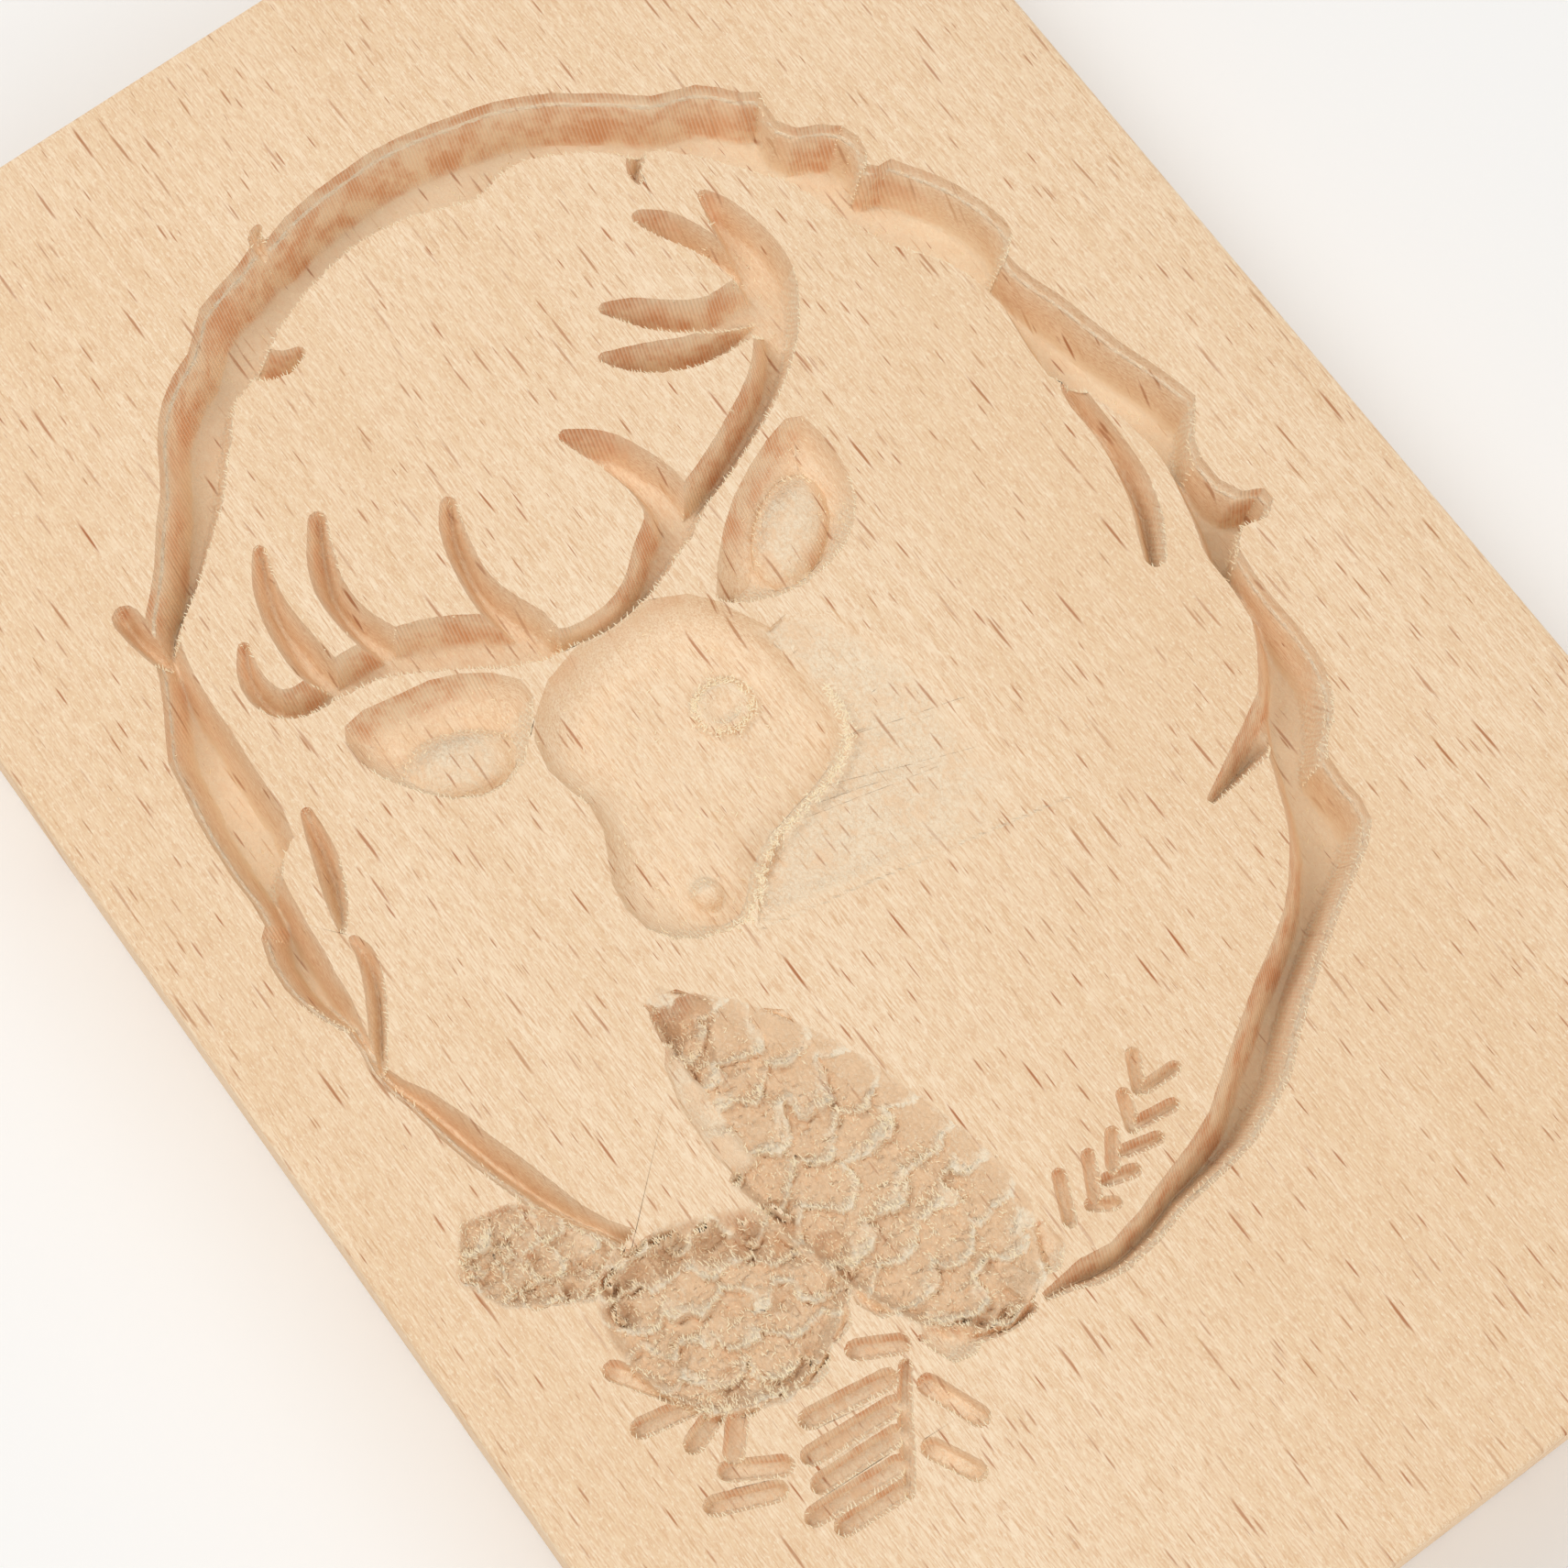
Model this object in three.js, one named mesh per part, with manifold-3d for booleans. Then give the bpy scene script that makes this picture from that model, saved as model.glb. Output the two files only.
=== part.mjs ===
// A cookie stamp: one beech board with a stag's head, a wreath of branches, two pine cones and a few
// sprigs cut into its upper face. Dough is pressed onto that face and takes the picture in relief.
// Millimetres. X runs across the board, Y along the grain to the top of the picture, Z out of the
// carved face. The origin is the middle of the back, where the board rests.

import * as THREE from 'three';
import { mergeVertices } from 'three/addons/utils/BufferGeometryUtils.js';
import Module from 'manifold-3d';

const wasm = await Module();
wasm.setup();

// The board.
const BOARD_WIDTH = 100;
const BOARD_LENGTH = 150;
const BOARD_THICKNESS = 20;
const EDGE_EASE = 0.4;

// Plain wood left beside and beyond the picture, at its widest and longest reach.
const SIDE_MARGIN = 7.4;
const END_MARGIN = 16.3;

// Depths below the carved face.
const WREATH_DEPTH = 5.5;
const BARK_DEPTH = 1.1;
const TWIG_DEPTH = 4;
const ANTLER_DEPTH = 3.8;
const FACE_DEPTH = 3;
const EAR_DEPTH = 3.1;
const THROAT_DEPTH = 1.5;
const CONE_DEPTH = 0.8;
const CATKIN_DEPTH = 0.5;
const NEEDLE_DEPTH = 1.3;

// The cutter: its walls lean by the draft, and its point leaves a narrow flat floor, which takes no
// more than a share of a narrow groove. The bark ledge takes no more than a share of the wreath.
const WALL_DRAFT = THREE.MathUtils.degToRad(16);
const FLOOR_HALF_WIDTH = 0.12;
const FLOOR_SHARE = 0.375;
const BARK_WIDTH = 0.25;
const BARK_SHARE = 0.15;

// Raised details that are left standing in a recess.
const EYE_RADIUS = 2.7;
const EYE_HEIGHT = 1;
const EYE_ASPECT = 0.9;
const EYE_DISH_RADIUS = 1.6;
const EYE_DISH_DEPTH = 0.7;
const NOSTRIL_RADIUS = 1.25;
const NOSTRIL_HEIGHT = 1.2;
const EAR_MOUND_HEIGHT = 2.2;

// Cone scales, each a scoop that is deepest towards the cone's base: its radii across, along and
// down, the height of its middle above the face, and its tilt. A catkin's are smaller by a share.
const SCALE_RADII = [2.3, 2.8, 2.3];
const SCALE_RISE = 0.7;
const SCALE_TILT = 26;
const SCALE_PITCH = 3;
const SCALE_SPACING = 3.3;
const SCALE_WANDER = 0.35;
const CATKIN_SHARE = 0.5;

// A cone lies shallower to its right, by a rise per millimetre. The tall cone's tip is sunk deeper.
const CONE_LEAN = 0.08;
const TIP_SINK = 0.7;

// Needles below the cones and leaves of the small twig.
const NEEDLE_HALF_WIDTH = 0.85;
const LEAF_HALF_WIDTH = 0.6;

// Straight steps in each span of a groove's curve and in its round ends, which stop a part of a step
// before their point. The other outlines take one step from point to point.
const GROOVE_STEPS = 2;
const END_STEPS = 2;
const END_BLUNTNESS = 0.3;

// Segments round a mound and from its pole to its pole, and the same for a scale's scoop.
const MOUND_SEGMENTS = [16, 8];
const SCOOP_SEGMENTS = [8, 6];

// Every cutter stands this far above the face.
const CUTTER_RISE = 1;

// The picture is drawn about the middle of the board, and reaches this far at the left and the top.
const DRAWN_REACH_X = 42.6;
const DRAWN_REACH_Y = 58.7;
const STRETCH_X = (BOARD_WIDTH / 2 - SIDE_MARGIN) / DRAWN_REACH_X;
const STRETCH_Y = (BOARD_LENGTH / 2 - END_MARGIN) / DRAWN_REACH_Y;

const BEECH_COLOUR = 0xecccaa;

// Wreath, clockwise from its lower left end: outer x, outer y, inner x, inner y.
const WREATH = [
  [-34.0, -24.6, -32.2, -24.0], [-34.9, -22.8, -33.4, -22.2], [-36.1, -21.1, -34.3, -20.2],
  [-37.3, -18.7, -35.0, -17.6], [-38.3, -15.7, -35.8, -14.8], [-39.0, -13.4, -36.6, -12.4],
  [-39.8, -10.0, -37.4, -9.4], [-40.3, -7.0, -38.3, -6.9], [-40.9, -4.8, -39.4, -5.0],
  [-41.1, -3.3, -40.0, -3.2], [-40.8, -1.3, -39.8, -1.5], [-40.8, 0.5, -39.4, 0.7],
  [-41.7, 2.1, -39.0, 2.6], [-42.3, 4.0, -38.9, 4.6], [-42.6, 5.8, -38.6, 6.6],
  [-42.5, 8.1, -38.5, 8.6], [-41.9, 10.1, -38.3, 10.2], [-41.1, 10.8, -38.2, 11.4],
  [-40.9, 12.8, -37.9, 13.1], [-41.0, 15.0, -37.0, 14.3], [-40.9, 17.0, -35.5, 15.2],
  [-40.8, 19.0, -35.0, 17.4], [-40.6, 21.0, -34.9, 20.0], [-40.2, 23.2, -34.8, 22.6],
  [-39.9, 25.6, -34.6, 25.4], [-39.0, 27.3, -34.6, 27.8], [-37.6, 29.8, -34.4, 30.2],
  [-36.6, 31.9, -34.1, 31.9], [-36.0, 34.2, -33.7, 33.3], [-34.8, 36.5, -32.5, 34.5],
  [-33.6, 37.7, -31.2, 35.4], [-32.0, 39.5, -29.2, 36.9], [-30.0, 42.3, -26.6, 39.2],
  [-28.5, 44.0, -25.0, 40.6], [-27.5, 45.6, -23.9, 41.8], [-26.4, 47.6, -22.6, 43.4],
  [-25.2, 49.3, -21.2, 44.9], [-24.0, 50.5, -20.2, 46.3], [-22.2, 51.8, -19.2, 47.2],
  [-20.2, 52.7, -17.7, 47.6], [-18.8, 54.0, -16.2, 48.4], [-17.4, 55.3, -14.6, 49.4],
  [-15.0, 56.1, -12.8, 50.4], [-13.0, 56.6, -11.2, 51.0], [-11.4, 57.3, -9.8, 51.5],
  [-9.6, 57.2, -8.2, 51.9], [-7.6, 57.9, -6.4, 52.3], [-5.0, 58.3, -4.2, 52.6],
  [-2.0, 58.5, -2.2, 52.4], [1.0, 58.6, 0.2, 52.0], [3.6, 58.3, 2.4, 51.2],
  [6.1, 57.8, 4.2, 50.5], [8.0, 57.3, 5.4, 50.2], [9.6, 56.9, 6.8, 50.5],
  [11.3, 56.4, 8.6, 50.9], [13.2, 55.5, 10.3, 50.7], [15.3, 54.4, 12.4, 49.7],
  [17.0, 53.1, 14.1, 48.7], [18.8, 51.8, 15.6, 47.6], [20.4, 50.4, 17.0, 46.2],
  [21.6, 49.4, 18.6, 45.5], [23.2, 48.8, 19.6, 44.9], [25.0, 48.1, 20.8, 43.6],
  [26.4, 46.8, 22.0, 42.2], [27.4, 45.5, 22.9, 40.9], [28.8, 44.6, 23.4, 40.3],
  [28.4, 43.2, 23.8, 39.8], [28.3, 41.8, 24.2, 39.2], [29.2, 40.3, 24.8, 38.3],
  [31.0, 39.4, 25.6, 37.4], [32.2, 38.3, 26.0, 36.7], [32.7, 36.8, 26.4, 35.6],
  [32.4, 35.3, 26.7, 34.6], [31.8, 34.5, 26.9, 33.8], [32.4, 33.8, 27.1, 33.0],
  [33.6, 33.7, 27.3, 32.2], [34.6, 32.1, 27.8, 31.0], [35.7, 30.3, 28.4, 29.4],
  [36.5, 28.6, 28.9, 28.1], [37.2, 26.4, 30.2, 26.2], [37.6, 24.2, 31.5, 24.4],
  [37.3, 22.7, 32.2, 22.8], [36.0, 21.7, 32.6, 21.5], [36.0, 20.6, 32.8, 20.3],
  [36.4, 18.8, 33.0, 18.4], [37.2, 16.4, 32.7, 16.4], [37.8, 13.6, 32.4, 14.0],
  [38.5, 10.5, 32.3, 11.4], [39.4, 7.6, 33.9, 8.7], [40.1, 5.0, 34.7, 5.6],
  [40.4, 3.5, 35.0, 3.0], [39.7, 2.6, 35.1, 1.6], [38.3, 1.0, 35.0, 0.4],
  [37.6, -0.8, 34.8, -0.8], [37.6, -3.0, 34.3, -2.8], [38.4, -4.8, 33.9, -4.4],
  [39.9, -5.6, 33.5, -5.6], [39.9, -6.8, 33.1, -6.6], [38.6, -7.7, 32.9, -7.8],
  [36.6, -7.1, 32.9, -8.8], [35.3, -8.4, 32.9, -9.8], [35.0, -10.6, 32.8, -11.2],
  [34.9, -13.2, 32.5, -13.4], [35.0, -15.8, 31.6, -15.2], [34.9, -18.2, 30.2, -17.2],
  [34.4, -20.3, 28.6, -19.0], [33.6, -22.1, 27.6, -20.8], [32.4, -23.5, 26.9, -22.4],
  [31.2, -24.3, 26.4, -23.8], [30.4, -25.4, 25.9, -24.9], [30.2, -27.4, 25.2, -26.6],
  [30.3, -29.2, 24.6, -27.8], [29.9, -31.2, 23.9, -28.9], [28.6, -32.5, 23.1, -29.9],
  [26.4, -33.8, 22.0, -31.2], [23.9, -35.2, 20.4, -32.7], [21.4, -36.8, 18.3, -34.1],
  [18.2, -38.9, 15.4, -35.7], [15.0, -41.3, 12.4, -37.6], [13.0, -43.0, 10.2, -39.0],
  [10.7, -44.1, 8.5, -40.2], [7.9, -45.3, 6.4, -41.6], [5.0, -45.8, 3.8, -42.6],
  [1.0, -46.2, 0.6, -43.5], [-2.1, -47.0, -2.2, -44.4], [-5.3, -47.4, -5.2, -45.0],
  [-7.6, -47.0, -7.8, -44.6], [-9.5, -46.2, -9.6, -44.8], [-11.5, -45.7, -11.4, -45.0],
];

// Twigs and slots beside the wreath: x, y, half width.
const TWIGS = [
  [[-35.4, 33.0, 1.1], [-35.9, 35.2, 1.1], [-36.1, 37.2, 1.1]],
  [[-10.7, 56.6, 0.7], [-10.5, 57.8, 0.6], [-9.9, 58.3, 0.4]],
  [[-17.4, 49.8, 1.5], [-16.0, 48.4, 1.4], [-14.6, 47.6, 1.1], [-13.3, 47.6, 0.6]],
  [[17.6, 45.8, 0.8], [16.7, 44.8, 0.6], [16.6, 44.0, 0.4]],
  [[-33.7, 16.2, 0.5], [-34.1, 14.4, 0.8], [-34.6, 12.2, 1.0], [-35.3, 10.2, 0.95],
    [-36.1, 8.3, 0.7], [-36.6, 7.2, 0.35]],
  [[-36.4, 6.0, 0.4], [-36.3, 4.8, 0.7], [-36.7, 3.2, 0.8], [-37.6, 1.3, 0.8],
    [-38.6, -0.4, 0.75], [-39.5, -1.8, 0.7], [-40.3, -3.2, 0.6]],
  [[33.1, 9.8, 0.8], [33.0, 8.4, 0.9], [33.0, 6.6, 0.85], [32.9, 4.0, 0.9], [32.5, 1.2, 1.05],
    [31.8, -1.3, 1.1], [30.8, -3.3, 1.1], [29.8, -5.1, 0.9]],
  [[30.2, -20.2, 2.2], [27.8, -21.0, 1.7], [25.4, -21.7, 1.25], [23.2, -22.4, 0.8],
    [21.4, -22.9, 0.45]],
  [[-20.3, -42.5, 0.3], [-18.5, -44.0, 0.5], [-16.5, -44.9, 0.6], [-14.5, -45.4, 0.55],
    [-12.6, -45.4, 0.5]],
];

// Antlers: x, y, half width. Each list is one stroke, from a tip towards the brow.
const ANTLERS = [
  [[-30.2, 29.9, 0.5], [-31.0, 28.2, 0.85], [-31.2, 26.3, 1.1], [-30.6, 24.7, 1.15],
    [-29.2, 23.8, 1.3], [-27.2, 23.7, 1.4], [-25.0, 23.6, 1.6], [-22.8, 23.3, 1.7],
    [-20.6, 22.6, 2.0], [-18.1, 21.4, 2.2], [-15.6, 19.8, 2.2], [-13.4, 18.2, 2.1],
    [-11.6, 17.0, 1.6]],
  [[-24.9, 35.7, 0.55], [-25.6, 34.3, 0.8], [-26.3, 32.6, 1.0], [-26.7, 30.5, 1.2],
    [-26.8, 28.2, 1.4], [-26.7, 26.0, 1.5], [-26.3, 24.2, 1.4]],
  [[-19.9, 35.2, 0.75], [-20.7, 33.8, 0.95], [-21.5, 32.2, 1.15], [-22.2, 30.2, 1.2],
    [-22.3, 28.0, 1.2], [-22.0, 26.0, 1.3], [-21.4, 24.0, 1.5]],
  [[-11.1, 30.3, 0.7], [-11.9, 28.8, 0.95], [-12.5, 26.8, 1.05], [-12.9, 24.6, 1.1],
    [-12.9, 22.4, 1.3], [-12.5, 20.2, 1.6], [-11.8, 18.2, 1.7]],
  [[-12.2, 16.8, 1.3], [-9.6, 15.9, 0.8], [-7.2, 15.6, 0.85], [-5.0, 15.8, 0.95],
    [-2.8, 16.5, 1.3], [-0.9, 17.6, 1.7], [1.2, 18.8, 1.9]],
  [[-0.6, 29.6, 0.6], [0.3, 28.4, 1.1], [1.3, 26.8, 1.45], [2.1, 24.6, 1.65],
    [2.6, 22.4, 1.85], [2.5, 20.4, 2.0], [1.6, 18.8, 2.0]],
  [[19.9, 39.8, 0.6], [20.1, 38.6, 1.1], [20.2, 36.6, 1.6], [20.1, 34.0, 2.1],
    [19.6, 31.4, 2.4], [18.6, 28.8, 2.1], [17.0, 26.4, 1.7], [14.6, 24.3, 1.5],
    [11.5, 22.6, 1.4], [8.0, 21.0, 1.35], [4.6, 19.8, 1.3], [1.8, 18.8, 1.8]],
  [[14.8, 41.3, 0.7], [15.9, 39.8, 1.15], [16.9, 38.0, 1.1], [17.7, 36.0, 1.0],
    [18.3, 34.0, 1.0], [18.8, 32.0, 1.3]],
  [[8.1, 36.5, 0.6], [9.5, 35.3, 1.1], [11.0, 33.7, 1.35], [12.7, 32.3, 1.4],
    [14.6, 31.3, 1.5], [16.6, 30.9, 1.8], [18.4, 30.6, 2.0]],
  [[5.6, 33.2, 0.5], [7.2, 31.9, 1.1], [9.0, 30.8, 1.35], [10.9, 29.8, 1.35],
    [12.8, 29.3, 1.35], [15.0, 29.2, 1.4], [17.4, 29.2, 1.7]],
];

// Outlines of the recesses, each a smooth closed curve through x, y. A third value widens the wall
// there by that factor, or narrows it.
const FACE = [
  [-15.6, 12.4, 1.2], [-16.8, 10.8, 1.2], [-17.3, 8.3, 1.2], [-16.9, 6.0, 1.3], [-16.4, 4.2, 1.4],
  [-16.7, 2.0, 1.4], [-17.6, 0.2, 1.4], [-18.6, -1.8, 1.4], [-18.9, -4.0, 1.3], [-18.5, -6.2, 1.2],
  [-17.4, -8.0, 1], [-15.7, -9.2, 0.7], [-13.7, -9.9, 0.5], [-11.8, -9.9, 0.4], [-10.2, -8.9, 0.4],
  [-8.3, -7.0, 0.4], [-6.0, -5.9, 0.4], [-3.4, -5.3, 0.4], [-1.0, -4.9, 0.4], [1.2, -4.0, 0.4],
  [2.6, -2.6, 0.5], [3.3, -0.6, 0.8], [3.5, 2.0, 1], [3.3, 5.0, 1], [2.8, 7.8, 0.9],
  [1.8, 9.8, 0.8], [1.0, 11.6, 0.8], [-0.6, 13.6, 1], [-3.4, 15.0, 1.2], [-6.6, 15.3, 1.2],
  [-10.0, 15.1, 1.2], [-13.2, 14.2, 1.2],
];
const LEFT_EAR = [
  [-28.3, 19.0], [-27.6, 20.2], [-25.8, 20.5], [-23.2, 20.0], [-20.4, 19.5], [-18.2, 18.6],
  [-16.2, 17.2], [-14.7, 15.4], [-14.7, 13.7], [-16.2, 11.8], [-18.2, 9.9], [-20.2, 9.1],
  [-22.4, 9.4], [-24.5, 10.7], [-26.2, 12.8], [-27.6, 15.0], [-28.3, 17.0],
];
const RIGHT_EAR = [
  [0.9, 12.0], [2.6, 14.2], [4.6, 16.2], [6.8, 17.9], [9.2, 19.2], [11.6, 20.2], [13.8, 20.8],
  [15.1, 20.2], [15.4, 18.2], [15.4, 16.0], [15.1, 14.0], [14.4, 12.2], [13.2, 10.8], [11.4, 9.6],
  [9.4, 9.0], [7.2, 8.8], [5.0, 9.2], [3.0, 10.0], [1.5, 11.0],
];
const TALL_CONE = [
  [-19.6, -11.6], [-22.0, -12.8], [-23.9, -15.2], [-24.8, -18.6], [-25.0, -22.5], [-24.4, -26.2],
  [-23.2, -29.6], [-22.0, -33.2], [-21.4, -37.2], [-20.2, -41.0], [-17.5, -43.6], [-14.0, -44.4],
  [-10.6, -43.8], [-8.7, -41.2], [-8.1, -37.5], [-8.5, -33.5], [-10.0, -29.5], [-12.0, -25.5],
  [-14.0, -21.0], [-15.8, -16.5], [-17.4, -12.9],
];
const SIDE_CONE = [
  [-35.6, -25.4], [-32.6, -25.0], [-29.6, -26.0], [-26.4, -27.8], [-23.2, -29.8], [-20.6, -32.2],
  [-21.2, -35.4], [-23.4, -38.4], [-26.6, -40.2], [-30.2, -40.2], [-33.4, -38.4], [-35.6, -35.2],
  [-36.9, -31.6], [-37.2, -28.2],
];

const CATKIN = [
  [-43.0, -20.2], [-42.2, -18.2], [-40.2, -17.0], [-38.7, -18.0], [-37.5, -20.0], [-36.3, -22.0],
  [-35.2, -24.2], [-36.2, -25.6], [-38.4, -25.4], [-40.6, -24.6], [-42.3, -22.8],
];

// How a recess sinks from its outline: distance in from the edge, share of its depth.
const BOWL = [[0.5, 0.45], [1.3, 0.8], [2.6, 1]];
const SAUCER = [[0.8, 0.6], [1.8, 1]];

// Neck and chest, from the throat down: right x, right y, left x, left y, then the depth at each side
// as a share of the throat's depth.
const NECK = [
  [4.4, 7.8, 1.4, 7.4, 0.06, 0.8], [7.5, 5.8, 1.4, 4.4, 0.1, 1], [9.2, 2.4, 1.4, 1.2, 0.1, 1],
  [10.8, -1.4, 1.2, -1.8, 0.1, 1], [11.5, -5.6, -1.4, -4.2, 0.06, 0.9],
  [11.7, -10.0, -5.6, -5.4, 0.1, 0.75], [13.6, -13.2, -9.8, -8.2, 0.12, 0.5],
  [14.8, -17.0, -12.4, -11.6, 0.1, 0.04], [15.0, -22.0, -9.0, -18.0, 0.06, 0.04],
];

// Raised mounds inside the ears: x, y, long radius, short radius, turn in degrees.
const EAR_MOUNDS = [[-21.9, 12.9, 4.9, 3.1, -24], [9.1, 13.7, 5.1, 3.0, 43]];
const EYE_PLACE = [-3.3, 5.3];
const NOSTRIL_PLACE = [-12.9, -6.0];

// Cone axes from tip to base, then the half width at equal steps along the axis.
const TALL_CONE_AXIS = [[-20.4, -13.4], [-14.0, -42.6]];
const TALL_CONE_SPREAD = [0.8, 2.6, 4.0, 4.6, 5.0, 5.4, 5.6, 4.6];
const SIDE_CONE_AXIS = [[-28.0, -29.4], [-30.4, -38.0]];
const SIDE_CONE_SPREAD = [6.6, 6.4, 5.4, 3.8];
const CATKIN_AXIS = [[-42.3, -20.3], [-36.8, -23.8]];
const CATKIN_SPREAD = [1.0, 1.9, 2.2, 1.4];

// Needles below the cones and the leaves of the small twig: start x, start y, end x, end y.
const NEEDLES = [
  [-39.4, -31.4, -36.6, -35.6], [-36.2, -35.2, -32.8, -37.2], [-40.2, -35.9, -36.4, -36.7],
  [-35.4, -32.0, -34.6, -33.8], [-37.8, -39.0, -35.4, -38.2], [-33.6, -38.6, -35.9, -41.2],
  [-37.0, -42.0, -33.6, -44.0], [-39.2, -43.4, -35.0, -45.2], [-30.4, -39.3, -27.0, -39.3],
  [-30.2, -42.4, -24.0, -43.4], [-31.6, -44.6, -24.8, -45.2], [-32.2, -46.6, -25.8, -47.0],
  [-33.9, -48.2, -27.0, -48.8], [-32.6, -50.0, -28.0, -50.3], [-21.9, -45.4, -20.3, -49.4],
  [-24.4, -49.2, -22.8, -52.4], [-24.6, -40.4, -21.8, -41.9],
];
const LEAVES = [
  [-5.2, -38.9, -6.6, -42.0], [-2.6, -39.0, -4.0, -41.6], [-0.2, -38.7, -1.6, -40.6],
  [2.2, -36.9, 1.3, -39.2], [4.6, -34.9, 3.4, -37.2], [-3.2, -42.9, -4.6, -42.0],
  [-0.6, -41.8, -2.6, -41.2], [2.2, -40.9, -0.2, -40.3], [4.6, -39.6, 1.8, -39.2],
  [6.4, -37.5, 3.8, -37.4],
];
const STEM = [[-22.4, -43.4, 0.55], [-24.4, -46.0, 0.6], [-25.8, -48.2, 0.6], [-27.6, -50.8, 0.5]];

function smoothCurve(points, steps, closed = false) {
  const placed = points.map(([x, y, third = 1]) => new THREE.Vector3(x * STRETCH_X, y * STRETCH_Y, third));
  const curve = new THREE.CatmullRomCurve3(placed, closed, 'centripetal');
  const spans = closed ? points.length : points.length - 1;
  return curve.getPoints(spans * steps);
}

// Joins equal rings of points into one closed solid. Each ring turns anticlockwise seen from the
// next one, and the first and last rings are filled with the triangles given.
function solidFromRings(rings, capTriangles) {
  const size = rings[0].length;
  const positions = rings.flat().flatMap((point) => [point.x, point.y, point.z]);
  const index = [];
  for (let row = 0; row < rings.length - 1; row += 1) {
    for (let column = 0; column < size; column += 1) {
      const here = row * size + column;
      const beside = row * size + ((column + 1) % size);
      index.push(here, beside, beside + size, here, beside + size, here + size);
    }
  }
  const last = (rings.length - 1) * size;
  for (const [a, b, c] of capTriangles) {
    index.push(a, c, b, last + a, last + b, last + c);
  }
  const geometry = new THREE.BufferGeometry();
  geometry.setAttribute('position', new THREE.Float32BufferAttribute(positions, 3));
  geometry.setIndex(index);
  return toManifold(geometry);
}

function toManifold(source) {
  const bare = source.clone();
  bare.deleteAttribute('normal');
  bare.deleteAttribute('uv');
  const merged = mergeVertices(bare, 1e-5);
  const vertProperties = new Float32Array(merged.attributes.position.array);
  const triVerts = new Uint32Array(merged.index.array);
  return new wasm.Manifold(new wasm.Mesh({ numProp: 3, vertProperties, triVerts }));
}

function toGeometry(solid) {
  const mesh = solid.getMesh();
  const geometry = new THREE.BufferGeometry();
  geometry.setAttribute('position', new THREE.BufferAttribute(mesh.vertProperties, mesh.numProp));
  geometry.setIndex(new THREE.BufferAttribute(mesh.triVerts, 1));
  geometry.computeVertexNormals();
  return geometry;
}

// A section of the cutter between two top corners, with a depth at each side and, where a ledge is
// given, a step below the left edge. A narrow section is shallower, because its leaning walls meet.
function cutterSection(left, right, leftDepth, rightDepth, ledge = { width: 0, depth: 0 }) {
  const across = new THREE.Vector2(right.x - left.x, right.y - left.y);
  const ledgeWidth = Math.min(ledge.width, across.length() * BARK_SHARE);
  const width = across.length() - ledgeWidth;
  across.normalize();
  const lean = Math.tan(WALL_DRAFT);
  const floorHalfWidth = Math.min(FLOOR_HALF_WIDTH, width * FLOOR_SHARE);
  const deepest = (width / 2 - floorHalfWidth) / lean;
  const corner = (from, inward, depth) => new THREE.Vector3(
    from.x + across.x * inward,
    from.y + across.y * inward,
    BOARD_THICKNESS - depth,
  );
  const leftFloor = Math.min(leftDepth, deepest);
  const rightFloor = Math.min(rightDepth, deepest);
  const step = Math.min(ledge.depth, leftFloor / 2);
  const section = [
    corner(right, CUTTER_RISE * lean, -CUTTER_RISE),
    corner(right, -rightFloor * lean, rightFloor),
    corner(left, ledgeWidth + leftFloor * lean, leftFloor),
  ];
  if (ledge.width > 0) {
    section.push(corner(left, ledgeWidth + step * lean, step), corner(left, step * lean, step));
  }
  section.push(corner(left, -CUTTER_RISE * lean, -CUTTER_RISE));
  return section;
}

// The triangles of a fan that fills a section.
function fan(size) {
  return Array.from({ length: size - 2 }, (_, item) => [0, item + 1, item + 2]);
}

// A groove along a centre line whose third value is its half width, with round ends.
function groove(points, depth) {
  const line = smoothCurve(points, GROOVE_STEPS);
  const last = line.length - 1;
  const start = roundEnd(line[0], line[1]);
  const end = roundEnd(line[last], line[last - 1]).reverse();
  const path = [...start, ...line, ...end];
  const sections = path.map((point, place) => {
    const before = path[Math.max(place - 1, 0)];
    const after = path[Math.min(place + 1, path.length - 1)];
    const along = new THREE.Vector2(after.x - before.x, after.y - before.y).normalize();
    const side = new THREE.Vector2(-along.y, along.x).multiplyScalar(point.z);
    const left = { x: point.x + side.x, y: point.y + side.y };
    const right = { x: point.x - side.x, y: point.y - side.y };
    return cutterSection(left, right, depth, depth);
  });
  return solidFromRings(sections, fan(4));
}

// Points beyond the end of a groove, narrowing as a half circle does.
function roundEnd(tip, next) {
  const away = new THREE.Vector2(tip.x - next.x, tip.y - next.y).normalize();
  const points = [];
  for (let step = END_STEPS; step > 0; step -= 1) {
    const angle = (step / (END_STEPS + END_BLUNTNESS)) * (Math.PI / 2);
    const reach = tip.z * Math.sin(angle);
    const halfWidth = tip.z * Math.cos(angle);
    points.push(new THREE.Vector3(tip.x + away.x * reach, tip.y + away.y * reach, halfWidth));
  }
  return points;
}

// A band between two edges, with its depth at each edge.
function band(leftEdge, rightEdge, ledge) {
  const left = smoothCurve(leftEdge, 1);
  const right = smoothCurve(rightEdge, 1);
  const sections = left.map((point, place) => (
    cutterSection(point, right[place], point.z, right[place].z, ledge)
  ));
  return solidFromRings(sections, fan(sections[0].length));
}

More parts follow.
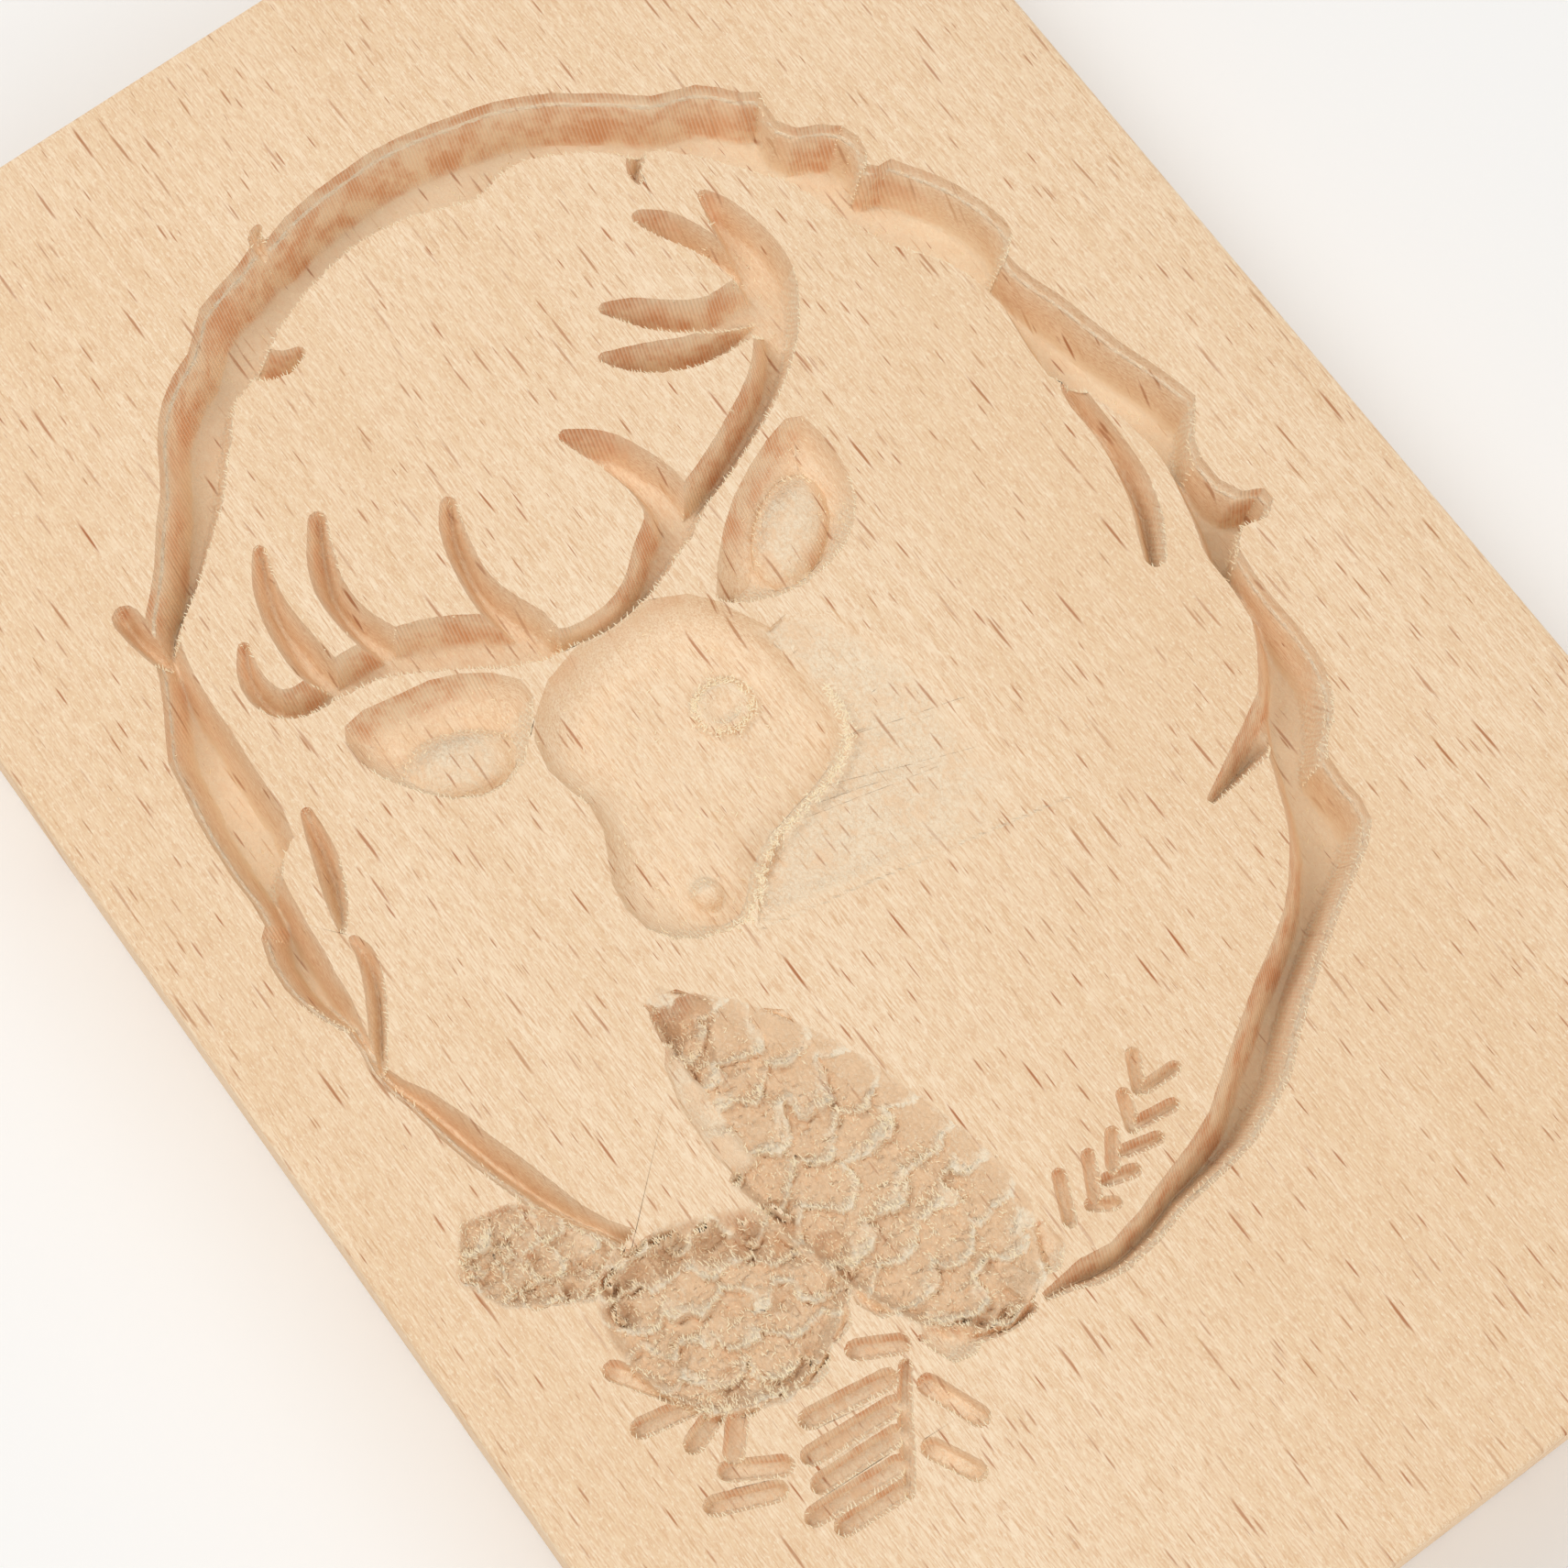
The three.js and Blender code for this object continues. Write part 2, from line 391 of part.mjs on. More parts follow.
// A recess inside a closed outline, sinking in steps from its edge.
function recess(outline, depth, profile) {
  const edge = smoothCurve(outline, 1, true).slice(0, -1);
  if (THREE.ShapeUtils.isClockWise(edge)) {
    edge.reverse();
  }
  const lean = Math.tan(WALL_DRAFT);
  const ring = (inset, height) => edge.map((point, place) => {
    const before = edge[(place + edge.length - 1) % edge.length];
    const after = edge[(place + 1) % edge.length];
    const along = new THREE.Vector2(after.x - before.x, after.y - before.y).normalize();
    const reach = inset * point.z;
    return new THREE.Vector3(point.x - along.y * reach, point.y + along.x * reach, height);
  });
  const levels = profile.map(([inset, share]) => ring(inset, BOARD_THICKNESS - depth * share)).reverse();
  const rings = [...levels, ring(-CUTTER_RISE * lean, BOARD_THICKNESS + CUTTER_RISE)];
  const cap = THREE.ShapeUtils.triangulateShape(edge, []);
  return solidFromRings(rings, cap);
}

// An ellipsoid with its radii, tilted and then turned about the vertical, in degrees.
function ellipsoid(x, y, height, radii, segments = MOUND_SEGMENTS, degrees = 0, tilt = 0) {
  const geometry = new THREE.SphereGeometry(1, ...segments);
  geometry.rotateX(Math.PI / 2);
  geometry.scale(...radii);
  geometry.rotateX(THREE.MathUtils.degToRad(tilt));
  geometry.rotateZ(THREE.MathUtils.degToRad(degrees));
  geometry.translate(x * STRETCH_X, y * STRETCH_Y, height);
  return toManifold(geometry);
}

function together(solids) {
  return solids.reduce((sum, solid) => sum.add(solid));
}

// Scales in staggered rows along a cone's axis, each a scoop whose lip points to the base.
function scales([tip, base], spread, share = 1, tipSink = 0) {
  const axis = new THREE.Vector2(base[0] - tip[0], base[1] - tip[1]);
  const rows = Math.round(axis.length() / (SCALE_PITCH * share));
  const side = new THREE.Vector2(-axis.y, axis.x).normalize();
  const turn = THREE.MathUtils.radToDeg(Math.atan2(axis.y, axis.x)) + 90;
  const radii = SCALE_RADII.map((radius) => radius * share);
  const scoops = [];
  for (let row = 0; row <= rows; row += 1) {
    const along = row / rows;
    const place = along * (spread.length - 1);
    const step = Math.min(Math.floor(place), spread.length - 2);
    const halfWidth = THREE.MathUtils.lerp(spread[step], spread[step + 1], place - step);
    const reach = halfWidth - ((row % 2) * SCALE_SPACING * share) / 2;
    const count = Math.max(Math.round((2 * reach) / (SCALE_SPACING * share)), 0) + 1;
    for (let item = 0; item < count; item += 1) {
      const across = count > 1 ? (item / (count - 1) - 0.5) * 2 * reach : 0;
      const wander = SCALE_WANDER * share * Math.sin(row * count + item);
      const x = tip[0] + axis.x * along + side.x * (across + wander);
      const y = tip[1] + axis.y * along + side.y * (across + wander) + wander;
      const rise = SCALE_RISE + Math.max(across, 0) * CONE_LEAN - (row === 0 ? tipSink : 0);
      const height = BOARD_THICKNESS + rise * share;
      scoops.push(ellipsoid(x, y, height, radii, SCOOP_SEGMENTS, turn, SCALE_TILT));
    }
  }
  return scoops;
}

function makeWreath() {
  const outer = WREATH.map(([x, y]) => [x, y, WREATH_DEPTH]);
  const inner = WREATH.map(([, , x, y]) => [x, y, WREATH_DEPTH]);
  const trench = band(outer, inner, { width: BARK_WIDTH, depth: BARK_DEPTH });
  const twigs = TWIGS.map((points) => groove(points, TWIG_DEPTH));
  return together([trench, ...twigs]);
}

function makeHead() {
  const antlers = ANTLERS.map((points) => groove(points, ANTLER_DEPTH));
  const right = NECK.map(([x, y, , , share]) => [x, y, share * THROAT_DEPTH]);
  const left = NECK.map(([, , x, y, , share]) => [x, y, share * THROAT_DEPTH]);
  const neck = band(right, left);
  return together([makeFace(), ...makeEars(), neck, ...antlers]);
}

function makeFace() {
  const floor = BOARD_THICKNESS - FACE_DEPTH;
  const eyeSize = [EYE_RADIUS, EYE_RADIUS * EYE_ASPECT, EYE_HEIGHT];
  const dishSize = [EYE_DISH_RADIUS, EYE_DISH_RADIUS * EYE_ASPECT, EYE_DISH_DEPTH];
  const eye = ellipsoid(...EYE_PLACE, floor, eyeSize);
  const dish = ellipsoid(...EYE_PLACE, floor + EYE_HEIGHT, dishSize);
  const nostril = ellipsoid(...NOSTRIL_PLACE, floor, [NOSTRIL_RADIUS, NOSTRIL_RADIUS, NOSTRIL_HEIGHT]);
  return recess(FACE, FACE_DEPTH, BOWL).subtract(eye.subtract(dish)).subtract(nostril);
}

function makeEars() {
  const floor = BOARD_THICKNESS - EAR_DEPTH;
  return [LEFT_EAR, RIGHT_EAR].map((outline, which) => {
    const [x, y, long, short, turn] = EAR_MOUNDS[which];
    const mound = ellipsoid(x, y, floor, [long, short, EAR_MOUND_HEIGHT], MOUND_SEGMENTS, turn);
    return recess(outline, EAR_DEPTH, BOWL).subtract(mound);
  });
}

function makeCones() {
  const coneBeds = [TALL_CONE, SIDE_CONE].map((outline) => recess(outline, CONE_DEPTH, SAUCER));
  const catkinBed = recess(CATKIN, CATKIN_DEPTH, SAUCER);
  const tall = scales(TALL_CONE_AXIS, TALL_CONE_SPREAD, 1, TIP_SINK);
  const side = scales(SIDE_CONE_AXIS, SIDE_CONE_SPREAD);
  const catkin = scales(CATKIN_AXIS, CATKIN_SPREAD, CATKIN_SHARE);
  return together([...coneBeds, catkinBed, ...tall, ...side, ...catkin]);
}

function makeSprigs() {
  const blade = ([x1, y1, x2, y2], halfWidth) => (
    groove([[x1, y1, halfWidth], [x2, y2, halfWidth]], NEEDLE_DEPTH)
  );
  const needles = NEEDLES.map((ends) => blade(ends, NEEDLE_HALF_WIDTH));
  const leaves = LEAVES.map((ends) => blade(ends, LEAF_HALF_WIDTH));
  return together([...needles, ...leaves, groove(STEM, NEEDLE_DEPTH)]);
}

function makeBlank() {
  const halfWidth = BOARD_WIDTH / 2 - EDGE_EASE;
  const halfLength = BOARD_LENGTH / 2 - EDGE_EASE;
  const outline = new THREE.Shape();
  outline.moveTo(-halfWidth, -halfLength);
  outline.lineTo(halfWidth, -halfLength);
  outline.lineTo(halfWidth, halfLength);
  outline.lineTo(-halfWidth, halfLength);
  const geometry = new THREE.ExtrudeGeometry(outline, {
    depth: BOARD_THICKNESS - 2 * EDGE_EASE,
    bevelThickness: EDGE_EASE,
    bevelSize: EDGE_EASE,
    bevelSegments: 2,
  });
  geometry.translate(0, 0, EDGE_EASE);
  return toManifold(geometry);
}

const picture = together([makeWreath(), makeHead(), makeCones(), makeSprigs()]);
const carvedBoard = makeBlank().subtract(picture);

const beech = new THREE.MeshStandardMaterial({ color: BEECH_COLOUR, roughness: 0.72, metalness: 0 });
const board = new THREE.Mesh(toGeometry(carvedBoard), beech);
board.name = 'carved_board';

const cookieStamp = new THREE.Group();
cookieStamp.add(board);

export default cookieStamp;
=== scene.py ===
# %% [markdown]
# A cookie stamp is one flat beech board with a picture cut into its face. Pressed onto rolled dough,
# the hollows raise the picture on the biscuit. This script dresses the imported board: it loads the
# solid, cuts its carved surface finer, wears it as a cutter leaves soft wood, and gives it beech.
# Everything is in metres, in the solid's own frame: X across the board, Y along the grain to the top
# of the picture, Z out of the carved face, with the back at zero.

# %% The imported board
import math
import random

import bmesh
import bpy
from mathutils import Euler, Matrix, Vector, noise
from mathutils.kdtree import KDTree


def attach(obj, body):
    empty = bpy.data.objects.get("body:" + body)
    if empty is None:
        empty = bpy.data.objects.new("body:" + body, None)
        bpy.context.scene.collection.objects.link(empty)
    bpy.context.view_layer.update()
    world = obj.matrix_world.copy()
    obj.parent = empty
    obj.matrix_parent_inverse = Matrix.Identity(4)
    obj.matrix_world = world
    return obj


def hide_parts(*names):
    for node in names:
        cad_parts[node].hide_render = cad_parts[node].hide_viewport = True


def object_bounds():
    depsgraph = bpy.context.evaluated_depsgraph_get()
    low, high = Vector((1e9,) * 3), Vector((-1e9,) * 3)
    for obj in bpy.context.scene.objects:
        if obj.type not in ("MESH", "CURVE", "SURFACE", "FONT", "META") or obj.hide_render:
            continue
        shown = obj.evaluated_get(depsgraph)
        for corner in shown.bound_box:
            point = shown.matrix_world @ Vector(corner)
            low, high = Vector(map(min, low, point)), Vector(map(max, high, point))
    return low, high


MM = 0.001

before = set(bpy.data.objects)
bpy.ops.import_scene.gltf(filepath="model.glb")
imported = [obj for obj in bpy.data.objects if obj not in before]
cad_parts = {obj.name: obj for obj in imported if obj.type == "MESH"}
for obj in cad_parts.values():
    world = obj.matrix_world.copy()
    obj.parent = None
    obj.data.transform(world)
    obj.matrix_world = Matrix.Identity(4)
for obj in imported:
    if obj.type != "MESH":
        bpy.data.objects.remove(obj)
cad_low, cad_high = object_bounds()
FACE_HEIGHT = cad_high.z
print("board in mm:", [round(size / MM, 2) for size in cad_high - cad_low])

# %% [markdown]
# The photograph looks down on the board from its lower left, with the board turned in the frame and
# running out of it on every side. The camera stands where the straightened edges of the board say,
# and its lens comes from how fast those edges draw together.

# %% Camera
PHOTO_SIDE = 1711
FOCAL_PIXELS = 4369
SENSOR_WIDTH = 36
CAMERA_PLACE = Vector((-55.38, -79.63, 304.36)) * MM
CAMERA_TURN = [math.radians(angle) for angle in (17.987, 0.685, -36.139)]

camera = bpy.data.objects.new("camera", bpy.data.cameras.new("camera"))
bpy.context.collection.objects.link(camera)
camera.location = CAMERA_PLACE
camera.rotation_euler = Euler(CAMERA_TURN)
camera.data.sensor_width = SENSOR_WIDTH
camera.data.lens = FOCAL_PIXELS / PHOTO_SIDE * SENSOR_WIDTH
camera.data.clip_start = 10 * MM
camera.data.clip_end = 5
bpy.context.scene.camera = camera
print("lens in mm:", round(camera.data.lens, 1))

# %% [markdown]
# The photograph's light is high and very even. One soft lamp stands over the top of the board and a
# little to its left, a slightly weaker one stands across from it, and an even sky fills the hollows.
# The view transform is Standard, so a colour shows about as it is written.

# %% Light
LAMP_DISTANCE = 0.8
WARM_WHITE = (1.0, 0.99, 0.97, 1)
KEY_DIRECTION = Vector((-0.4, 0.62, 1.15))
KEY_SIZE = 0.36
KEY_POWER = 2.15
FILL_DIRECTION = Vector((0.1, -0.75, 0.8))
FILL_SIZE = 0.6
FILL_POWER = 1.8
SKY_STRENGTH = 0.54

bpy.context.scene.view_settings.view_transform = "Standard"


def point_at(thing, target):
    thing.rotation_euler = (target - thing.location).to_track_quat("-Z", "Y").to_euler()


def add_lamp(name, direction, size, power):
    lamp = bpy.data.objects.new(name, bpy.data.lights.new(name, "AREA"))
    bpy.context.collection.objects.link(lamp)
    lamp.location = Vector((0, 0, FACE_HEIGHT)) + direction.normalized() * LAMP_DISTANCE
    point_at(lamp, Vector((0, 0, FACE_HEIGHT)))
    lamp.data.size = size
    lamp.data.energy = power
    lamp.data.color = WARM_WHITE[:3]


add_lamp("key_lamp", KEY_DIRECTION, KEY_SIZE, KEY_POWER)
add_lamp("fill_lamp", FILL_DIRECTION, FILL_SIZE, FILL_POWER)

# %% [markdown]
# Shader maths reads best as plain formulas. This small class wraps a node socket, so that an
# expression such as 1 - mask adds its own Math nodes. Colours go through Mix nodes instead, because a
# Math node turns a colour grey.


# %% Sockets that add up
class Socket:
    """A node output that takes part in formulas."""

    def __init__(self, nodes, output):
        self.nodes = nodes
        self.output = output

    def beside(self, name):
        """Another output of the same node."""
        return Socket(self.nodes, self.output.node.outputs[name])

    def math(self, operation, other=None, swapped=False):
        values = [self] if other is None else [other, self] if swapped else [self, other]
        return self.nodes.add("ShaderNodeMath", {"operation": operation}, values)

    def __add__(self, other):
        return self.math("ADD", other)

    def __radd__(self, other):
        return self.math("ADD", other, swapped=True)

    def __sub__(self, other):
        return self.math("SUBTRACT", other)

    def __rsub__(self, other):
        return self.math("SUBTRACT", other, swapped=True)

    def __mul__(self, other):
        return self.math("MULTIPLY", other)

    def __rmul__(self, other):
        return self.math("MULTIPLY", other, swapped=True)

    def __truediv__(self, other):
        return self.math("DIVIDE", other)

    def __rtruediv__(self, other):
        return self.math("DIVIDE", other, swapped=True)


class Nodes:
    """The node tree of a material or a world, filled one node at a time."""

    def __init__(self, owner):
        owner.use_nodes = True
        self.tree = owner.node_tree
        self.tree.nodes.clear()

    def add(self, kind, settings=None, values=(), output=0):
        """Adds a node, its settings first and then its sockets' values or links."""
        node = self.tree.nodes.new(kind)
        for name, value in (settings or {}).items():
            setattr(node, name, value)
        pairs = values.items() if isinstance(values, dict) else enumerate(values)
        for place, value in pairs:
            if isinstance(value, Socket):
                self.tree.links.new(value.output, node.inputs[place])
            else:
                node.inputs[place].default_value = value
        return Socket(self, node.outputs[output]) if node.outputs else node

    def ramp(self, value, low, high, start=0.0, end=1.0):
        """Goes smoothly from start to end as value goes from low to high."""
        settings = {"interpolation_type": "SMOOTHSTEP"}
        places = {"Value": value, "From Min": low, "From Max": high, "To Min": start, "To Max": end}
        return self.add("ShaderNodeMapRange", settings, places)

    def blend(self, factor, first, second):
        """Mixes two colours."""
        return self.add("ShaderNodeMix", {"data_type": "RGBA"}, {0: factor, 6: first, 7: second}, output=2)

    def stretched(self, scale, shift=(0, 0, 0)):
        """Object coordinates, scaled along each axis."""
        place = self.add("ShaderNodeTexCoord", output="Object")
        return self.add("ShaderNodeMapping", {}, {"Vector": place, "Location": shift, "Scale": scale})

    def noise(self, vector, scale=1.0, detail=2.0, roughness=0.5, distortion=0.0):
        values = {"Vector": vector, "Scale": scale, "Detail": detail, "Roughness": roughness}
        values["Distortion"] = distortion
        return self.add("ShaderNodeTexNoise", {}, values)

    def attribute(self, name):
        return self.add("ShaderNodeAttribute", {"attribute_name": name}, output="Fac")

    def bump(self, height, distance):
        return self.add("ShaderNodeBump", {}, {"Height": height, "Distance": distance, "Strength": 1.0})

    def finish(self, shader, kind="ShaderNodeOutputMaterial"):
        self.add(kind, {}, {"Surface": shader})


def srgb(red, green, blue):
    """A colour in 0-255 steps, as the linear values that a shader takes."""
    steps = [step / 255 for step in (red, green, blue)]
    linear = [s / 12.92 if s <= 0.04045 else ((s + 0.055) / 1.055) ** 2.4 for s in steps]
    return (*linear, 1.0)


# %% [markdown]
# Two cones and a catkin are cut as shallow beds full of scales. Each is described by its axis from
# the tip to the base and by its half width at equal steps along it, so that any point of the surface
# can be told how far along and across it lies, and how far from the edge. The bed is how deep its
# middle lies, lean how much that changes across it, walls the widths of its two sloping sides, and
# pitch and scale_width the length and width of a scale. All of this is in millimetres, and so is every
# box, which gives the left, right, lower and upper edge of an area.

# %% Where the cones lie
CONES_BOX = (-45, -4, -math.inf, -10)
CATKIN_RIGHT = -22
WREATH_LINE = ((38.6, 0.91), (14.6, 0.42))
WREATH_LOW = -25
TIP_MARGIN = 0.8
BASE_MARGIN = 0.4

CONES = {
    "tall": {
        "tip": Vector((-21.6, -11.2)), "base": Vector((-12.6, -44.8)),
        "widths": [1.8, 4.4, 5.9, 6.8, 7.1, 7.3, 7.2, 6.2, 2.6], "bed": 1.15, "lean": 0.06,
        "walls": (1.3, 3.6), "pitch": 3.1, "scale_width": 4.6,
    },
    "side": {
        "tip": Vector((-27.6, -26.8)), "base": Vector((-33.1, -39.2)),
        "widths": [7.0, 8.9, 9.4, 9.0, 8.0, 6.2, 3.2], "bed": 0.95, "lean": 0.0,
        "walls": (1.6, 1.8), "pitch": 2.6, "scale_width": 4.4,
    },
    "catkin": {
        "tip": Vector((-43.0, -18.2)), "base": Vector((-34.0, -25.6)),
        "widths": [2.6, 4.0, 3.8, 3.2, 2.4], "bed": 0.65, "lean": 0.0,
        "walls": (1.2, 0.6), "pitch": 1.9, "scale_width": 2.8,
    },
}


def in_box(place, box):
    left, right, low, high = (edge * MM for edge in box)
    return left < place.x < right and low < place.y < high


def cone_spot(cone, place):
    """Distances along and across a cone and in from its edge, in millimetres."""
    axis = cone["base"] - cone["tip"]
    length = axis.length
    axis.normalize()
    out = Vector((place.x / MM, place.y / MM)) - cone["tip"]
    along = out.dot(axis)
    across = out.dot(Vector((-axis.y, axis.x)))
    step = max(min(along / length, 0.999), 0) * (len(cone["widths"]) - 1)
    before = cone["widths"][int(step)]
    after = cone["widths"][int(step) + 1]
    half_width = before + (after - before) * (step - int(step))
    inset = min(half_width - abs(across), along + TIP_MARGIN, length + BASE_MARGIN - along)
    return along, across, inset


def past_wreath(place):
    """True beyond the catkin's upper edge, where the wreath's groove begins."""
    (right, right_share), (up, up_share) = WREATH_LINE
    beyond = (place.x / MM + right) * right_share + (place.y / MM + up) * up_share
    return beyond > 0 and place.y > WREATH_LOW * MM


def cone_under(place):
    """The cone that a point lies on, with its distances, or nothing."""
    if place.y > CONES_BOX[3] * MM or place.x > CONES_BOX[1] * MM:
        return None
    if place.x < CATKIN_RIGHT * MM and past_wreath(place):
        return None
    for cone in CONES.values():
        along, across, inset = cone_spot(cone, place)
        if inset > 0:
            return cone, along, across, inset
    return None


# %% [markdown]
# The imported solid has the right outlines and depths, but its walls are single flat strips. A copy of
# its mesh is cut finer in the carved places and over the cones: every edge longer than the limit gets
# a point in its middle, again and again, and the rest of the plain face and the sides stay as they are.
# Points that lie less than SNAP under the face are moved up to it first.

# %% The carved surface, cut finer
EDGE_LIMIT = 0.85 * MM
FINE_LIMIT = 0.5 * MM
LIP_LIMIT = 0.36 * MM
CONE_LIMIT = 0.34 * MM
RIM_DEPTH = 0.3 * MM
CUT_ROUNDS = 9
SIDE_CLEARANCE = 1 * MM
TOP_TOLERANCE = 0.01 * MM
SNAP = 0.05 * MM
FACING = 0.25
SPRIGS_BOX = (-math.inf, -19, -math.inf, -30)
CROSSING_STEPS = 8
MERGE = 0.005 * MM


def is_top(vert):
    return vert.co.z > FACE_HEIGHT - TOP_TOLERANCE


def is_inside(place):
    """True for a place that is clear of the board's own edges and back."""
    clear = abs(place.x) < cad_high.x - SIDE_CLEARANCE and abs(place.y) < cad_high.y - SIDE_CLEARANCE
    return clear and place.z > SIDE_CLEARANCE


def is_carved(face):
    """True for a face inside the picture that isn't part of the plain top."""
    return is_inside(face.calc_center_median()) and not all(is_top(vert) for vert in face.verts)


def edge_limit(edge):
    """How long an edge may stay: short on the cones, catkin and needles and along the rims."""
    middle = (edge.verts[0].co + edge.verts[1].co) / 2
    if cone_under(middle):
        return CONE_LIMIT
    if all(is_top(vert) for vert in edge.verts):
        torn_side = any(face.normal.y > FACING for face in edge.link_faces)
        return LIP_LIMIT if torn_side else FINE_LIMIT
    on_rim = middle.z > FACE_HEIGHT - RIM_DEPTH
    return FINE_LIMIT if on_rim or in_box(middle, SPRIGS_BOX) else EDGE_LIMIT


def crosses_cone(edge):
    """True for an edge of the plain top that runs over a cone, whose bed is wider than the solid's."""
    start, end = (vert.co for vert in edge.verts)
    left, right, _, high = (side * MM for side in CONES_BOX)
    if min(start.y, end.y) > high or min(start.x, end.x) > right or max(start.x, end.x) < left:
        return False
    steps = range(CROSSING_STEPS + 1)
    all_top = all(is_top(vert) for vert in edge.verts)
    return all_top and any(cone_under(start.lerp(end, step / CROSSING_STEPS)) for step in steps)


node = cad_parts["carved_board"]
board_mesh = node.data.copy()
board_mesh.name = "stamp_board"
if "custom_normal" in board_mesh.attributes:
    board_mesh.attributes.remove(board_mesh.attributes["custom_normal"])
shape = bmesh.new()
shape.from_mesh(board_mesh)
bmesh.ops.remove_doubles(shape, verts=shape.verts, dist=MERGE)
for vert in shape.verts:
    if is_inside(vert.co) and FACE_HEIGHT - vert.co.z < SNAP:
        vert.co.z = FACE_HEIGHT
shape.normal_update()
for cut_round in range(CUT_ROUNDS):
    carved_edges = {edge for face in shape.faces if is_carved(face) for edge in face.edges}
    long_edges = []
    for edge in shape.edges:
        length = edge.calc_length()
        if edge in carved_edges and length > edge_limit(edge):
            long_edges.append(edge)
        if edge not in carved_edges and length > CONE_LIMIT and crosses_cone(edge):
            long_edges.append(edge)
    if not long_edges:
        break
    bmesh.ops.subdivide_edges(shape, edges=long_edges, cuts=1)
    bmesh.ops.triangulate(shape, faces=[face for face in shape.faces if len(face.verts) > 3])
    print("round", cut_round, "triangles:", len(shape.faces))

# %% [markdown]
# The neck is only shaved off, and its hollow runs out to nothing down the chest. The solid ends it in
# a small step, so its shallowest places are lifted until they meet the face. Then the neck is evened
# out, away from the jaw: each of its points takes the mean height of the points close around it.

# %% The chest runs out
SHAVED = 0.35 * MM
LIFTED_SHARE = 0.45
LEFT_SHARE = 0.55
CHEST_BOX = (-14, 17, -26, 9)
NECK_BOX = (-15, 19, -28, 8.6)
NECK_DEPTH = 1.75 * MM
JAW_REACH = 0.9
NECK_BLUR = 0.9 * MM

# The lower edge of the jaw from the cheek to the muzzle, and the cheek above it, in millimetres.
CHEEK = [(5.0, 9.0), (4.5, 6.0)]
JAW = [(3.5, 1.4), (3.3, -0.9), (2.6, -2.7), (1.2, -4.1), (-1.0, -5.0), (-3.4, -5.4), (-6.0, -6.0),
       (-8.3, -7.1), (-10.2, -9.0), (-11.8, -10.0), (-13.6, -10.0)]


def from_jaw(place):
    """How far a place is from the line of the jaw and the cheek above it, in millimetres."""
    spot = place.xy
    line = [Vector(point) for point in CHEEK + JAW]
    nearest = math.inf
    for start, end in zip(line, line[1:]):
        share = max(min((spot - start).dot(end - start) / (end - start).length_squared, 1), 0)
        nearest = min(nearest, (spot - start.lerp(end, share)).length)
    return nearest


chest = [vert for vert in shape.verts
         if in_box(vert.co, CHEST_BOX) and not is_top(vert) and FACE_HEIGHT - vert.co.z < SHAVED]
for vert in chest:
    share = (FACE_HEIGHT - vert.co.z) / SHAVED
    vert.co.z = FACE_HEIGHT - max(SHAVED * (share - LIFTED_SHARE) / LEFT_SHARE, 0)
neck = [vert for vert in shape.verts
        if in_box(vert.co, NECK_BOX) and FACE_HEIGHT - vert.co.z < NECK_DEPTH
        and from_jaw(vert.co / MM) > JAW_REACH]
tree = KDTree(len(neck))
for index, vert in enumerate(neck):
    tree.insert((vert.co.x, vert.co.y, 0), index)
tree.balance()
heights = [vert.co.z for vert in neck]
for vert in neck:
    if not is_top(vert):
        around = tree.find_range((vert.co.x, vert.co.y, 0), NECK_BLUR)
        vert.co.z = sum(heights[index] for _, index, _ in around) / len(around)
print("points of the chest:", len(chest), "and of the neck:", len(neck))

# %% [markdown]
# The solid has plain scoops for the scales. On the real board they overlap like shingles: each scale
# drops steeply below the lip of the one above it, runs out in a shallow bowl and rises to its own
# wavy lip. That relief is a height worked out from the place along and across the cone, and the
# points of the fine mesh are moved to it. Small round pits from the cutter's point are added one by one
# from a list.

# %% Scales of the cones
LIP_BOW = 1.5
LIP_HEIGHT = 0.85
LIP_MIDDLE = 0.4
LIP_WANDER = 1.5
WANDER_SCALE = 0.3
SWAY_RATIO = 1.7
LONGEST_SCALE = 1.2
BOWL_SHARE = 0.42
BOWL_FLOOR = 0.12
BOWL_RISE = 0.88
BOWL_CURVE = 1.4
LIP_SHARE = 0.06
PIT_LENGTH = 1.1
PIT_CURVE = 0.7
PIT_TILT = 0.5
BLEND_WIDTH = 0.45
PATCH_SCALE = 0.4
PATCH_LEAST = 0.5
PATCH_GAIN = 0.6
PATCH_RISE = 0.3
WOOL_HEIGHT = 0.24
WOOL_SCALE = 2.1
FINE_WOOL = 0.6
FINE_WOOL_RATIO = 2.2
DEEPEST_SCALE = 3.2 * MM
LONGEST = 1.6 * MM

